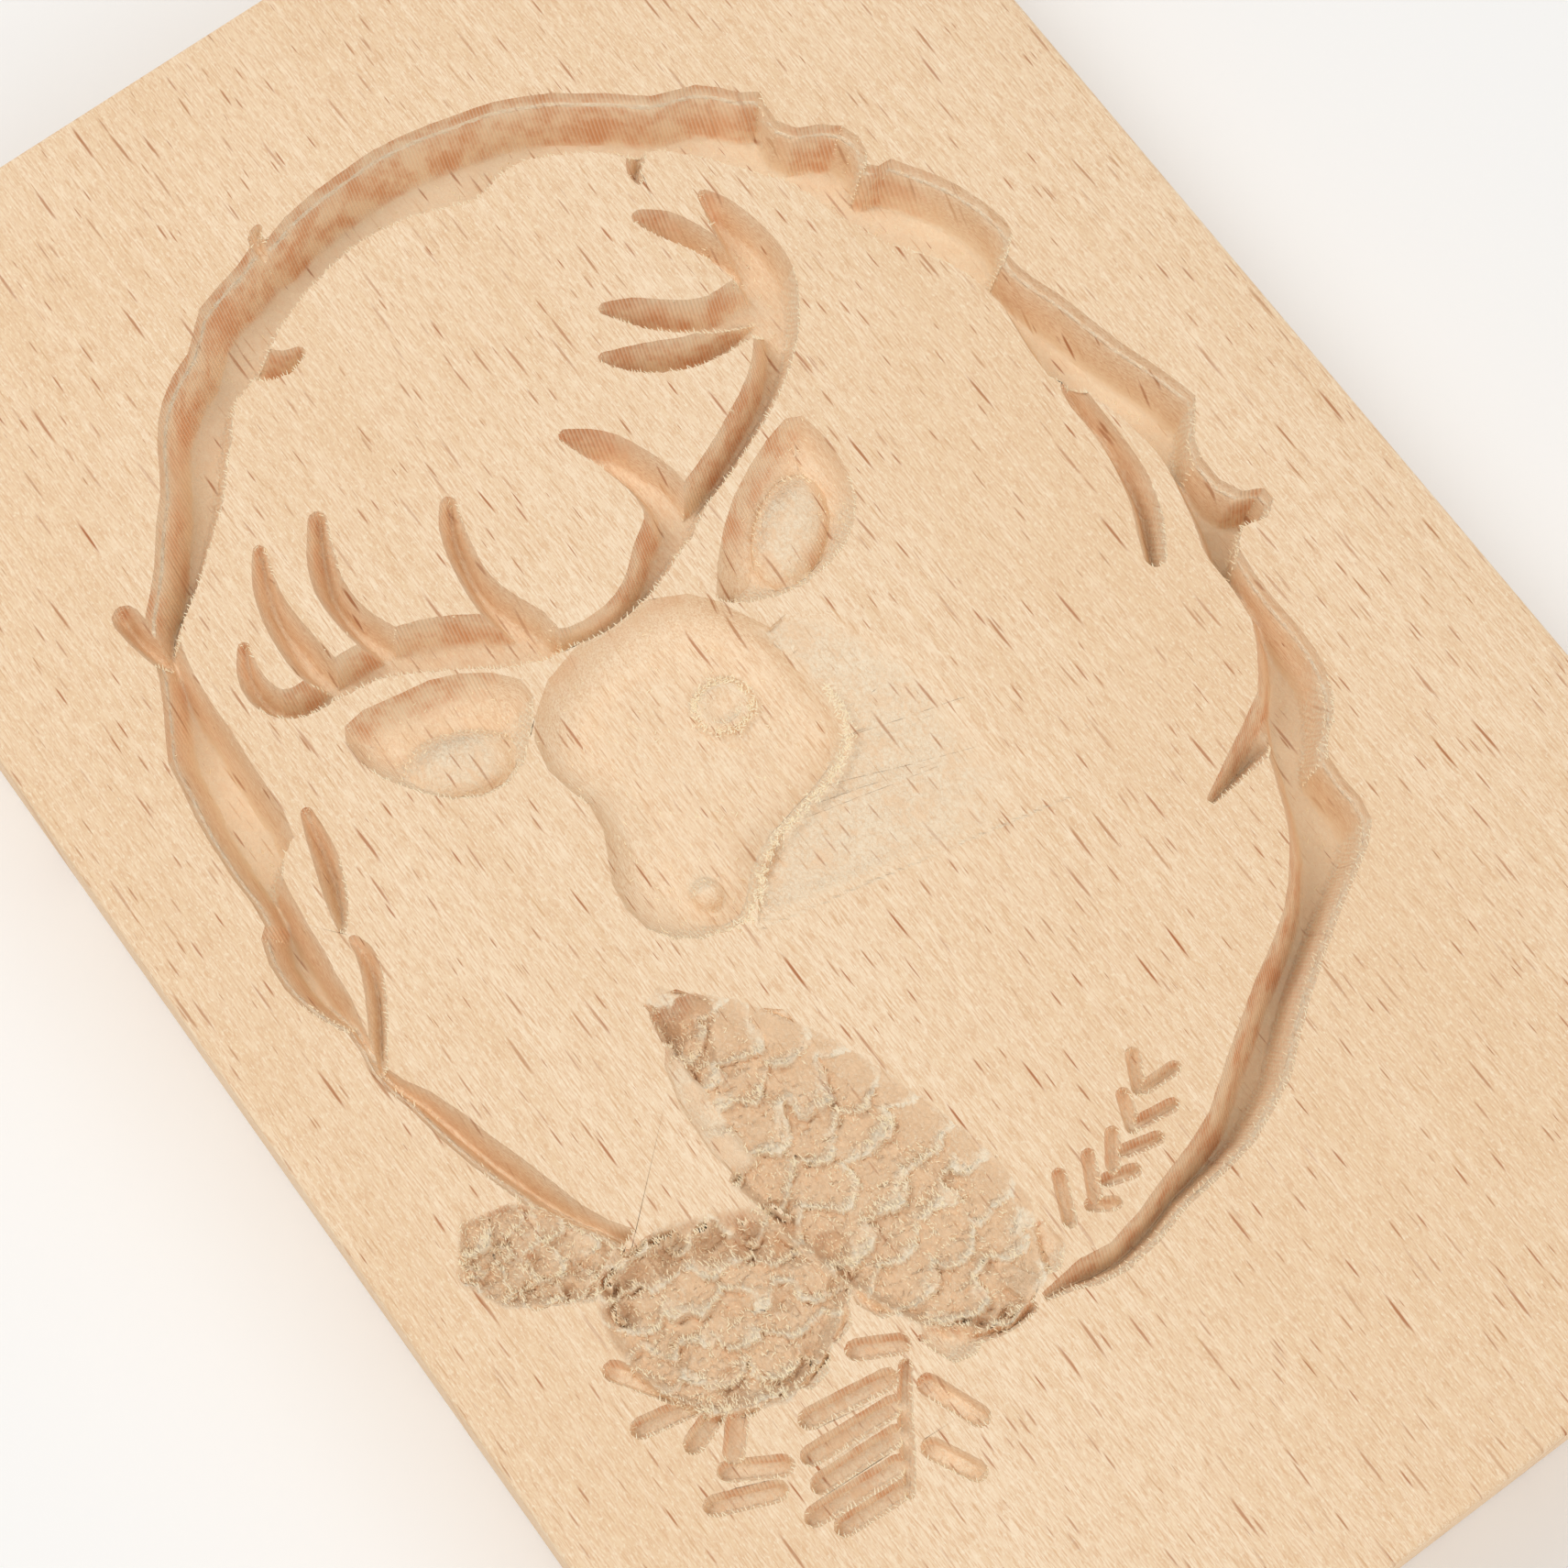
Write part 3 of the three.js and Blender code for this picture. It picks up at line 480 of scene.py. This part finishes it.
# Pits: x, y, radius and depth in millimetres.
PITS = [
    (-21.6, -13.4, 1.7, 1.9), (-19.5, -13.4, 1.5, 1.6), (-20.7, -15.7, 1.2, 1.4), (-22.6, -16.9, 1.1, 1.4),
    (-23.9, -20.0, 0.9, 0.6), (-24.2, -25.0, 0.9, 0.6), (-23.2, -28.8, 1.0, 0.7), (-19.2, -18.0, 1.1, 0.5),
    (-34.2, -26.8, 1.3, 1.1), (-31.2, -26.9, 1.5, 1.2), (-28.3, -28.0, 1.5, 1.3), (-25.9, -29.7, 1.5, 1.3),
    (-23.6, -31.4, 1.5, 1.2), (-21.5, -33.4, 1.4, 1.1), (-36.1, -26.3, 0.9, 0.9), (-36.3, -28.6, 0.9, 0.9),
    (-35.0, -33.0, 1.0, 0.8), (-33.0, -37.0, 1.1, 0.8), (-27.5, -39.0, 1.3, 0.8), (-22.6, -36.2, 1.2, 0.9),
    (-29.8, -33.0, 0.9, 0.6), (-26.5, -34.4, 0.9, 0.6),
    (-19.6, -43.0, 0.9, 0.9), (-18.0, -44.0, 0.9, 1.0), (-16.2, -44.6, 0.9, 1.0), (-14.2, -44.9, 0.8, 0.8),
    (-42.6, -20.4, 0.8, 0.8), (-39.4, -21.5, 0.8, 0.9), (-37.0, -23.8, 0.9, 0.9), (-40.8, -23.0, 0.8, 0.7),
    (-38.8, -24.8, 0.8, 0.8), (-40.6, -19.2, 0.7, 0.5),
]


def shingle(cone, along, across, place):
    """Height of a scale's surface from 0 in its pit to 1 on its lip."""
    wander = noise.noise(place * WANDER_SCALE) * LIP_WANDER
    sway = noise.noise(place * WANDER_SCALE * SWAY_RATIO + Vector((5, 2, 0))) * LIP_WANDER
    level = (along + wander) / cone["pitch"]
    best = None
    for row in range(int(level) - 2, int(level) + 3):
        column = (across + sway) / cone["scale_width"] + 0.5 * (row % 2)
        column = column - math.floor(column) - 0.5
        lip = row + LIP_BOW / cone["pitch"] * (1 - (2 * column) ** 2)
        if lip >= level and (best is None or lip < best):
            best = lip
    if best is None:
        return 0.5
    back = min(best - level, LONGEST_SCALE)
    rise = max(1 - back / BOWL_SHARE, 0)
    if back > LIP_SHARE:
        return BOWL_FLOOR + BOWL_RISE * rise ** BOWL_CURVE
    return 1 - back


def pit_depth(place):
    """How far the cutter's point went in, deepest towards the top of the picture."""
    total = 0
    for x, y, radius, depth in PITS:
        right = (place.x / MM - x) / radius
        up = (place.y / MM - y) / (radius * PIT_LENGTH)
        inside = 1 - right * right - up * up
        if inside > 0:
            total = max(total, depth * inside ** PIT_CURVE * (1 + PIT_TILT * up))
    return total


def eased(value):
    value = max(min(value, 1), 0)
    return value * value * (3 - 2 * value)


def scaled_depth(cone, along, across, inset, place):
    """Depth of a cone's surface below the face, in millimetres, and the height of its scale."""
    in_mm = place / MM
    flat = Vector((in_mm.x, in_mm.y, 0))
    lift = shingle(cone, along, across, flat)
    fine_wool = noise.noise(flat * WOOL_SCALE * FINE_WOOL_RATIO)
    wool = noise.noise(flat * WOOL_SCALE) + FINE_WOOL * fine_wool
    wall = cone["walls"][1 if across > 0 else 0]
    level = eased(inset / wall)
    depth = (cone["bed"] - cone["lean"] * across) * level + pit_depth(place) * eased(inset / BLEND_WIDTH)
    patch = noise.noise(flat * PATCH_SCALE + Vector((9, 4, 0)))
    strength = PATCH_LEAST + PATCH_GAIN * eased((patch + PATCH_RISE) / (2 * PATCH_RISE))
    depth -= (lift - LIP_MIDDLE) * LIP_HEIGHT * strength * level
    return max(depth + wool * WOOL_HEIGHT * level, 0), lift


lifts = {}
for vert in shape.verts:
    held = is_top(vert) and max(edge.calc_length() for edge in vert.link_edges) > LONGEST
    spot = cone_under(vert.co) if is_inside(vert.co) and not held else None
    if spot and FACE_HEIGHT - vert.co.z < DEEPEST_SCALE:
        depth, lift = scaled_depth(*spot, vert.co)
        fade = eased(spot[3] / BLEND_WIDTH)
        target = FACE_HEIGHT - depth * MM
        vert.co.z += (target - vert.co.z) * fade
        lifts[vert.index] = (lift, fade)
shape.normal_update()
print("points on the cones:", len(lifts))

# %% [markdown]
# Beech tears where the cutter climbs against the fibres, so every lip that faces the top of the
# picture is left with short bright fibres, and so is the foot of a wall that faces its bottom. The
# lips and feet are found here, while the creases are still sharp.

# %% Where the fibres tear
CREASE = math.radians(24)
STEEP = 0.8
SHAVED_BOX = (-14, 17, -26, 8.6)
DEEP_FLOOR = 1.6 * MM
FLOOR_UPRIGHT = 0.5


def is_shaved(place):
    """True on the shaved neck and chest, right of the jaw and below the right ear."""
    return place.z > FACE_HEIGHT - NECK_DEPTH and in_box(place, SHAVED_BOX)


def crease_spots():
    """Middles and lengths of the torn lips and of the torn feet of walls."""
    lips, feet = [], []
    for edge in shape.edges:
        if len(edge.link_faces) != 2 or not is_inside(edge.verts[0].co):
            continue
        fold = edge.calc_face_angle_signed(0)
        normals = [face.normal for face in edge.link_faces]
        middle = (edge.verts[0].co + edge.verts[1].co) / 2
        if min(normal.z for normal in normals) > STEEP or is_shaved(middle):
            continue
        if fold > CREASE and max(normal.y for normal in normals) > FACING:
            lips.append((middle, edge.calc_length()))
        if fold < -CREASE and min(normal.y for normal in normals) < -FACING:
            feet.append((middle, edge.calc_length()))
    return lips, feet


def is_deep_floor(face):
    deep_enough = FACE_HEIGHT - face.calc_center_median().z > DEEP_FLOOR
    return deep_enough and face.normal.z > FLOOR_UPRIGHT and is_carved(face)


lip_spots, foot_spots = crease_spots()
floor_spots = [(face.calc_center_median(), face.calc_area() / MM)
               for face in shape.faces if is_deep_floor(face)]
print("lips in mm:", round(sum(length for _, length in lip_spots) / MM))
print("feet in mm:", round(sum(length for _, length in foot_spots) / MM))

# %% [markdown]
# A cutter's point is round and soft wood gives way, so no crease in a hollow is quite sharp. A light
# smoothing rounds the floors and walls, and the cones keep their scales. Then every sunk point moves a
# little: the torn faces stand rough, and the rest only wavers. The rims of the cuts are torn a little
# too, most of all where they face the top of the picture.

# %% Worn and torn surface
SMOOTHING = 0.5
FULL_DEPTH = 0.6 * MM
ROUGHNESS = 0.06 * MM
ROUGH_SCALE = 1.6 / MM
LEAST_TORN = 0.35
WAVER = 0.08 * MM
WAVER_SCALE = 0.35 / MM
RIM_TEAR = 0.16 * MM
CLEAN_TEAR = 0.3
SIDE_TEAR = 0.5
RIM_SCALE = 3.1 / MM
NEEDLES_BOX = (-42, 42, -math.inf, -30)

sunk = [vert for vert in shape.verts if is_inside(vert.co) and not is_top(vert)]
smoothed = [vert for vert in sunk if vert.index not in lifts]
bmesh.ops.smooth_vert(
    shape, verts=smoothed, factor=SMOOTHING, use_axis_x=True, use_axis_y=True, use_axis_z=True)
shape.normal_update()
moves = []
for vert in sunk:
    depth = FACE_HEIGHT - vert.co.z
    hold = min(depth / FULL_DEPTH, 1)
    torn = LEAST_TORN + max(vert.normal.y, 0)
    rough = noise.noise(vert.co * ROUGH_SCALE) * ROUGHNESS * torn
    waver = noise.noise(vert.co * WAVER_SCALE) * WAVER
    moves.append((vert, vert.normal * (rough + waver) * hold))
for vert, move in moves:
    vert.co += move
rim = [vert for vert in shape.verts if is_top(vert) and any(is_carved(face) for face in vert.link_faces)]
for vert in rim:
    walls = [face.normal for face in vert.link_faces if is_carved(face)]
    facing = max(normal.y for normal in walls)
    torn_rim = facing > FACING and not in_box(vert.co, NEEDLES_BOX)
    tear = RIM_TEAR if torn_rim else RIM_TEAR * CLEAN_TEAR
    vert.co.y += noise.noise(vert.co * RIM_SCALE) * tear
    vert.co.x += noise.noise(vert.co * RIM_SCALE + Vector((7, 3, 1))) * tear * SIDE_TEAR
shape.normal_update()
print("points below the face:", len(sunk), "and on its rims:", len(rim))

# %% [markdown]
# The wood looks different where it is cut across. Values for the material go with each point: how
# deep it lies, which also paints light into the deepest hollows; how far it faces the bottom of the
# picture, where the end of the grain shows brown together with painted shade, as those walls face away
# from the key lamp; how far it faces the top, where the torn fibres lie pale together with a painted
# highlight, as those walls face the lamp; how woolly the cutter has left it; and on the cones how high
# its scale stands, which paints the lips lighter and the pits darker. The tread of the narrow ledge in
# the wreath's wall is torn too, and shows as a thin bright line that is partly a painted highlight.
# Cutting the same edges again and again has left stacks of doubled triangles, and validate takes the
# copies out of the finished mesh.

# %% What the cut shows at each point
DEEPEST = 5.5 * MM
LEDGE_DEPTHS = (0.75 * MM, 1.45 * MM)
LEDGE_UPRIGHT = 0.7
LEDGE_TORN_AND_LIGHT = 0.35
WREATH_RADIUS = 34 * MM
LEDGE_LOW = -24 * MM
LEDGE_RIGHT = 9 * MM
SHAVED_END_AND_SHADE = 0.3
FACE_END_AND_SHADE = 0.5
FACE_BOX = (-20, 4, -11, 16.5)
FACE_FLOOR_BOX = (-20, 3.6, -11, 16)
FACE_FLOOR_DEPTH = 1.2 * MM
SHALLOW = 1.7 * MM
WOOL_STARTS = 0.05 * MM
WOOL_GROWS = 0.5 * MM
UPRIGHT_STARTS = 0.45
UPRIGHT_GROWS = 0.4
NECK_WOOL = 0.8
FLOOR_WOOL = 0.35
FACE_WOOL = 0.15
SHARP_ANGLE = math.radians(50)


def is_ledge(face):
    """True for the tread of the ledge, which runs round the wreath but not past the cones."""
    middle = face.calc_center_median()
    on_wreath = middle.xy.length > WREATH_RADIUS and (middle.y > LEDGE_LOW or middle.x > LEDGE_RIGHT)
    depth = FACE_HEIGHT - middle.z
    return on_wreath and face.normal.z > LEDGE_UPRIGHT and LEDGE_DEPTHS[0] < depth < LEDGE_DEPTHS[1]


def end_and_shade_share(place):
    """How brown the end grain and its painted shade show: little in the stag's face and hardly on the
    shaved chest.
    """
    if is_shaved(place):
        return SHAVED_END_AND_SHADE
    return FACE_END_AND_SHADE if in_box(place, FACE_BOX) else 1.0


def floor_wool(place, upright):
    """How woolly a floor is: the shaved neck and the deep grooves are, the stag's face isn't."""
    depth = FACE_HEIGHT - place.z
    level = eased((upright - UPRIGHT_STARTS) / UPRIGHT_GROWS)
    if in_box(place, FACE_FLOOR_BOX) and depth > FACE_FLOOR_DEPTH:
        return FACE_WOOL * level
    if depth < SHALLOW:
        return NECK_WOOL * level * eased((depth - WOOL_STARTS) / WOOL_GROWS)
    return FLOOR_WOOL * level


end_and_shade_layer = shape.loops.layers.float.new("end_grain_and_shade")
torn_and_light_layer = shape.loops.layers.float.new("torn_grain_and_light")
depth_layer = shape.loops.layers.float.new("depth")
wool_layer = shape.loops.layers.float.new("wool")
lift_layer = shape.loops.layers.float.new("lift")
carved_faces = {face for face in shape.faces if is_carved(face)}
ledge_faces = {face for face in carved_faces if is_ledge(face)}
for vert in shape.verts:
    walls = [face.normal for face in vert.link_faces if face in carved_faces]
    slope = sum(normal.y for normal in walls) / max(len(walls), 1)
    upright = sum(normal.z for normal in walls) / max(len(walls), 1)
    lift, fade = lifts.get(vert.index, (0.5, 0.0))
    wool = max(fade, floor_wool(vert.co, upright))
    brown_and_shade = end_and_shade_share(vert.co)
    for loop in vert.link_loops:
        if loop.face in carved_faces:
            on_ledge = loop.face in ledge_faces
            # Facing the bottom gives brown end grain with painted shade; facing the top gives pale torn
            # fibres with a painted highlight.
            loop[end_and_shade_layer] = 0 if on_ledge else max(-slope, 0) * brown_and_shade
            loop[torn_and_light_layer] = LEDGE_TORN_AND_LIGHT if on_ledge else max(slope, 0)
            loop[depth_layer] = max(FACE_HEIGHT - vert.co.z, 0) / DEEPEST
            loop[wool_layer] = wool
            loop[lift_layer] = lift
print("faces of the ledge:", len(ledge_faces))
for face in shape.faces:
    face.smooth = face in carved_faces
shape.to_mesh(board_mesh)
shape.free()
board_mesh.validate()
print("board triangles:", len(board_mesh.polygons))

board = bpy.data.objects.new("stamp_board", board_mesh)
bpy.context.collection.objects.link(board)
board_mesh.set_sharp_from_angle(angle=SHARP_ANGLE)

# %% [markdown]
# Beech is pale and even, with short brown dashes along the grain. Each dash is the edge of a thin
# ribbon of ray cells that stands upright in the wood, so the pattern depends on X and Y only and runs
# straight down into every hollow. Three sets of dashes, long, short and faint, lie on a ground of soft
# streaks and fine specks.

# %% Beech
PALE = srgb(251, 227, 196)
WARM = srgb(240, 209, 171)
SPECKLE = srgb(228, 188, 148)
CREAM = srgb(255, 238, 210)
FLECK = srgb(178, 110, 68)
GREY_FLECK = srgb(188, 134, 94)
FAINT_FLECK = srgb(216, 173, 130)
END_BROWN_AND_SHADE = srgb(253, 222, 186)
RED_BROWN_AND_SHADE = srgb(229, 166, 120)
TORN_CREAM_AND_HIGHLIGHT = srgb(255, 243, 216)
TORN_GREY = srgb(247, 216, 181)
WOOL_SHADE = srgb(235, 196, 156)
WOOL_LIGHT = srgb(255, 239, 212)
DEEP_PAINTED_LIGHT = srgb(247, 228, 198)
WOOL_TAN = srgb(247, 208, 168)

# Each set of dashes: the width and length of its cells, and how much of a cell a dash fills.
LONG_DASHES = (1.05 * MM, 15 * MM, 0.15)
SHORT_DASHES = (0.7 * MM, 7 * MM, 0.16)
FAINT_DASHES = (0.4 * MM, 6 * MM, 0.22)
DASH_SWAY = 0.8
PASS_WIDTH = 0.27 * MM
BUMP_DEPTH = 0.08 * MM
WOOD_ROUGHNESS = 0.7
WOOD_SPECULAR = 0.25

beech_material = bpy.data.materials.new("beech")
beech = Nodes(beech_material)


def flecks(dashes, shift):
    """A mask of upright dashes, cells stretched along the grain, and a hue from 0 to 1 for each."""
    across, along, reach = dashes
    wave = beech.noise(beech.stretched((90, 60, 0), shift), 1.0, 2.0) - 0.5
    place = beech.stretched((1 / across, 1 / along, 0), shift)
    parts = beech.add("ShaderNodeSeparateXYZ", {}, [place])
    swayed = beech.add("ShaderNodeCombineXYZ", {}, [parts + wave * DASH_SWAY, parts.beside("Y")])
    settings = {"voronoi_dimensions": "2D"}
    cells = beech.add("ShaderNodeTexVoronoi", settings, {"Vector": swayed, "Scale": 1.0})
    own = beech.add("ShaderNodeSeparateColor", {}, [cells.beside("Color")])
    size = beech.ramp(own, 0.3, 1.0, 0.0, reach)
    mask = beech.ramp(cells / (size + 0.001), 0.4, 1.0, 1.0, 0.0)
    return mask * (own.beside("Green") * 0.65 + 0.35), own.beside("Blue")


streaks = beech.noise(beech.stretched((1900, 90, 90)), 1.0, 3.0, 0.7)
bands = beech.noise(beech.stretched((55, 9, 12)), 1.0, 2.0)
ground = beech.blend(beech.ramp(streaks * 0.65 + bands * 0.35, 0.36, 0.64), PALE, WARM)
speckle = beech.noise(beech.stretched((7600, 620, 7600)), 1.0, 3.0, 0.75)
ground = beech.blend(beech.ramp(speckle, 0.4, 0.66, 0.0, 0.95), ground, SPECKLE)
sparks = beech.noise(beech.stretched((7400, 2300, 7400), (2, 5, 0)), 1.0, 2.0, 0.7)
ground = beech.blend(beech.ramp(sparks, 0.5, 0.72, 0.0, 0.75), ground, CREAM)
long_flecks, long_hue = flecks(LONG_DASHES, (0, 0, 0))
short_flecks, short_hue = flecks(SHORT_DASHES, (5, 2, 0))
faint_flecks, _ = flecks(FAINT_DASHES, (3, 7, 0))

end_cut_and_shade = beech.ramp(beech.attribute("end_grain_and_shade"), 0.25, 0.8)
torn_cut_and_light = beech.ramp(beech.attribute("torn_grain_and_light"), 0.08, 0.5)
deep = beech.attribute("depth")
woolly = beech.attribute("wool")
painted_lip_light = beech.attribute("lift")
place_x = beech.add("ShaderNodeSeparateXYZ", {}, [beech.stretched((1, 1, 1))])
passes = (place_x * (2 * math.pi / PASS_WIDTH)).math("SINE") * 0.5 + 0.5
mottle = beech.noise(beech.stretched((420, 160, 330)), 1.0, 4.0, 0.65)
fuzz = beech.noise(beech.stretched((4600, 3400, 4600)), 1.0, 3.0, 0.75, 0.8)
curls = beech.noise(beech.stretched((1500, 1200, 1500)), 1.0, 4.0, 0.65, 1.6)
tufts = beech.noise(beech.stretched((700, 500, 700), (4, 1, 0)), 1.0, 3.0, 0.6, 0.8)

# Painted light: the deepest hollows are painted paler and less warm than the ground, against their own
# shade and warm bounce light.
wood = beech.blend(beech.ramp(deep, 0.6, 1.0, 0.0, 0.75), ground, DEEP_PAINTED_LIGHT)
# Walls facing the bottom turn brown and red-brown: partly end grain, partly painted shade, as they face
# away from the key lamp.
wood = beech.blend(end_cut_and_shade * 0.95, wood, END_BROWN_AND_SHADE)
wood = beech.blend(end_cut_and_shade * beech.ramp(mottle, 0.38, 0.66, 0.0, 0.95), wood, RED_BROWN_AND_SHADE)
wood = beech.blend(end_cut_and_shade * beech.ramp(passes, 0.4, 1.0, 0.0, 0.4), wood, CREAM)
torn_shade = beech.ramp(fuzz * 0.8 + passes * 0.08, 0.34, 0.56)
torn_wood_and_highlight = beech.blend(torn_shade, TORN_GREY, TORN_CREAM_AND_HIGHLIGHT)
# Walls facing the top turn cream: partly torn fibres, partly a painted highlight where they face the key
# lamp. The ledge's tread gets a weaker share of the same painted highlight.
wood = beech.blend(torn_cut_and_light * 0.9, wood, torn_wood_and_highlight)
# The wool's tone wanders with the fuzz, and the scale's height paints the lips lighter and the pits
# darker: painted light and shade on the scales.
wool_shade = beech.ramp(fuzz * 0.45 + curls * 0.25 + painted_lip_light * 0.3, 0.35, 0.59)
wool_wood = beech.blend(wool_shade, WOOL_SHADE, WOOL_LIGHT)
wool_wood = beech.blend(beech.ramp(tufts, 0.46, 0.66, 0.0, 0.7), wool_wood, WOOL_TAN)
wood = beech.blend(woolly * (1 - end_cut_and_shade * 0.8) * 0.85, wood, wool_wood)
fleck_share = (1 - end_cut_and_shade * 0.85) * (1 - torn_cut_and_light * 0.75) * (1 - woolly * 0.3)
wood = beech.blend(faint_flecks * fleck_share * 0.75, wood, FAINT_FLECK)
wood = beech.blend(short_flecks * fleck_share * 0.9, wood, beech.blend(short_hue, FLECK, GREY_FLECK))
wood = beech.blend(long_flecks * fleck_share, wood, beech.blend(long_hue, FLECK, GREY_FLECK))
fine_grain = beech.noise(beech.stretched((3000, 200, 3000)), 1.0, 2.0)
wool_relief = (fuzz + curls) * (torn_cut_and_light + deep * 0.3 + woolly) * 1.3
relief = fine_grain * 0.25 + speckle * 0.3 + wool_relief + passes * (end_cut_and_shade + torn_cut_and_light * 0.3) * 0.8
beech.finish(beech.add("ShaderNodeBsdfPrincipled", {}, {
    "Base Color": wood, "Roughness": WOOD_ROUGHNESS, "Specular IOR Level": WOOD_SPECULAR,
    "Normal": beech.bump(relief, BUMP_DEPTH)}))
board_mesh.materials.clear()
board_mesh.materials.append(beech_material)

# %% [markdown]
# The torn fibres themselves are short thin cones with three sides and open ends, some sixteen thousand
# of them. On a lip they reach over the hollow along the grain. At the foot of a wall they curl any way.
# The ridge of the jaw and the ring of the eye are the woolliest places, so those get fibres along a
# line of their own.

# %% Torn fibres
FIBRE_RADIUS = 0.07 * MM
FIBRE_FLATNESS = 0.35
FIBRE_SINK = 0.06 * MM
FIBRE_LENGTHS = (0.2 * MM, 0.55 * MM)
LIP_SPACING = 0.3 * MM
FOOT_SPACING = 0.5 * MM
FLOOR_SPACING = 1.0 * MM
FIBRE_SIDES = 3
FIBRE_ROOT = 0.35
FIBRE_TAPER = 0.3
FIBRE_CREAM = srgb(255, 239, 206)
FIBRE_ROUGHNESS = 0.8
FIBRE_SPECULAR = 0.2
BATCH = 300
JAW_SPACING = 0.05
JAW_WIDTH = 0.22
EYE_MIDDLE = (-3.3, 5.3)
EYE_RING = 2.1
EYE_WIDTH = 0.3
EYE_SQUASH = 0.95
EYE_DEPTH = 2.35
EYE_FIBRES = 260

dice = random.Random(7)


def fibre_place(spot, direction):
    """A matrix that lays a cone's axis along the direction, with its root at the spot."""
    length = dice.uniform(*FIBRE_LENGTHS)
    turn = direction.normalized().to_track_quat("Z", "Y").to_matrix().to_4x4()
    middle = spot + direction.normalized() * length * FIBRE_ROOT
    flat = Matrix.Diagonal((1, 1, FIBRE_FLATNESS, 1))
    return Matrix.Translation(middle) @ flat @ turn @ Matrix.Diagonal((1, 1, length, 1))


def spot_at(right, up, depth):
    """A place under the face, from millimetres."""
    return Vector((right, up, 0)) * MM + Vector((0, 0, FACE_HEIGHT - depth * MM))


jaw_spots = []
for (x, y), (next_x, next_y) in zip(JAW, JAW[1:]):
    steps = round(math.dist((x, y), (next_x, next_y)) / JAW_SPACING)
    for step in range(steps):
        right = x + (next_x - x) * step / steps + dice.gauss(0, JAW_WIDTH)
        up = y + (next_y - y) * step / steps + dice.gauss(0, JAW_WIDTH)
        jaw_spots.append((spot_at(right, up, 0), 1))
eye_spots = []
for fibre in range(EYE_FIBRES):
    angle = dice.uniform(0, 2 * math.pi)
    reach = EYE_RING + dice.gauss(0, EYE_WIDTH)
    right = EYE_MIDDLE[0] + reach * math.cos(angle)
    up = EYE_MIDDLE[1] + reach * math.sin(angle) * EYE_SQUASH
    eye_spots.append((spot_at(right, up, EYE_DEPTH), 1))

# Each kind of place has its own spacing, the way its fibres point and how far that varies.
places = []
for spots, spacing, aim, spread in (
    (lip_spots, LIP_SPACING, Vector((0, 0.9, -0.25)), 0.5),
    (foot_spots, FOOT_SPACING, Vector((0, 0.3, 0.5)), 0.9),
    (floor_spots, FLOOR_SPACING, Vector((0, 0.6, 0.25)), 0.6),
    (jaw_spots, 1, Vector((0, 0.3, 0.4)), 0.6),
    (eye_spots, 1, Vector((0, 0.3, 0.5)), 0.8),
):
    for middle, length in spots:
        if dice.random() < length / spacing:
            sway = Vector([dice.uniform(-spread, spread) for axis in range(3)])
            root = middle - Vector((0, 0, FIBRE_SINK))
            places.append(fibre_place(root, aim + sway))

fibre_mesh = bpy.data.meshes.new("torn_fibres")
all_fibres = bmesh.new()
for first in range(0, len(places), BATCH):
    batch = bmesh.new()
    for place in places[first:first + BATCH]:
        bmesh.ops.create_cone(batch, segments=FIBRE_SIDES, radius1=FIBRE_RADIUS,
                              radius2=FIBRE_RADIUS * FIBRE_TAPER, depth=1, matrix=place)
    batch_mesh = bpy.data.meshes.new("fibre_batch")
    batch.to_mesh(batch_mesh)
    batch.free()
    all_fibres.from_mesh(batch_mesh)
    bpy.data.meshes.remove(batch_mesh)
all_fibres.to_mesh(fibre_mesh)
all_fibres.free()
fibres = bpy.data.objects.new("torn_fibres", fibre_mesh)
bpy.context.collection.objects.link(fibres)
print("fibres:", len(places), "triangles:", len(fibre_mesh.polygons) * 2)

fibre_material = bpy.data.materials.new("torn_beech")
torn = Nodes(fibre_material)
torn.finish(torn.add("ShaderNodeBsdfPrincipled", {}, {
    "Base Color": FIBRE_CREAM, "Roughness": FIBRE_ROUGHNESS, "Specular IOR Level": FIBRE_SPECULAR}))
fibre_mesh.materials.append(fibre_material)
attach(fibres, "root")

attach(board, "root")
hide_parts("carved_board")

# %% [markdown]
# The board lies on a plain pale table, which takes its soft shadow. The sky behind it shows white to
# the camera and in reflections, and lights the board with less strength than that.

# %% Table
TABLE_SIDE = 3.0
TABLE_GAP = 0.05 * MM
TABLE_PALE = (0.97, 0.97, 0.97, 1)

table_shape = bmesh.new()
bmesh.ops.create_grid(table_shape, x_segments=1, y_segments=1, size=TABLE_SIDE / 2)
table_mesh = bpy.data.meshes.new("table")
table_shape.to_mesh(table_mesh)
table_shape.free()
table = bpy.data.objects.new("table", table_mesh)
bpy.context.collection.objects.link(table)
table.location.z = -TABLE_GAP
pale_table = bpy.data.materials.new("pale_table")
pale = Nodes(pale_table)
pale.finish(pale.add("ShaderNodeBsdfDiffuse", {}, {"Color": TABLE_PALE}))
table_mesh.materials.append(pale_table)

# %% Sky
world = bpy.data.worlds.new("sky")
bpy.context.scene.world = world
sky = Nodes(world)
rays = sky.add("ShaderNodeLightPath", output="Is Camera Ray")
seen = (rays + rays.beside("Is Glossy Ray") + rays.beside("Is Transmission Ray")).math("MINIMUM", 1.0)
light = sky.add("ShaderNodeBackground", {}, {"Color": WARM_WHITE, "Strength": SKY_STRENGTH})
white = sky.add("ShaderNodeBackground", {}, {"Color": (1, 1, 1, 1), "Strength": 1.0})
backdrop = sky.add("ShaderNodeMixShader", {}, [seen, light, white])
sky.finish(backdrop, "ShaderNodeOutputWorld")
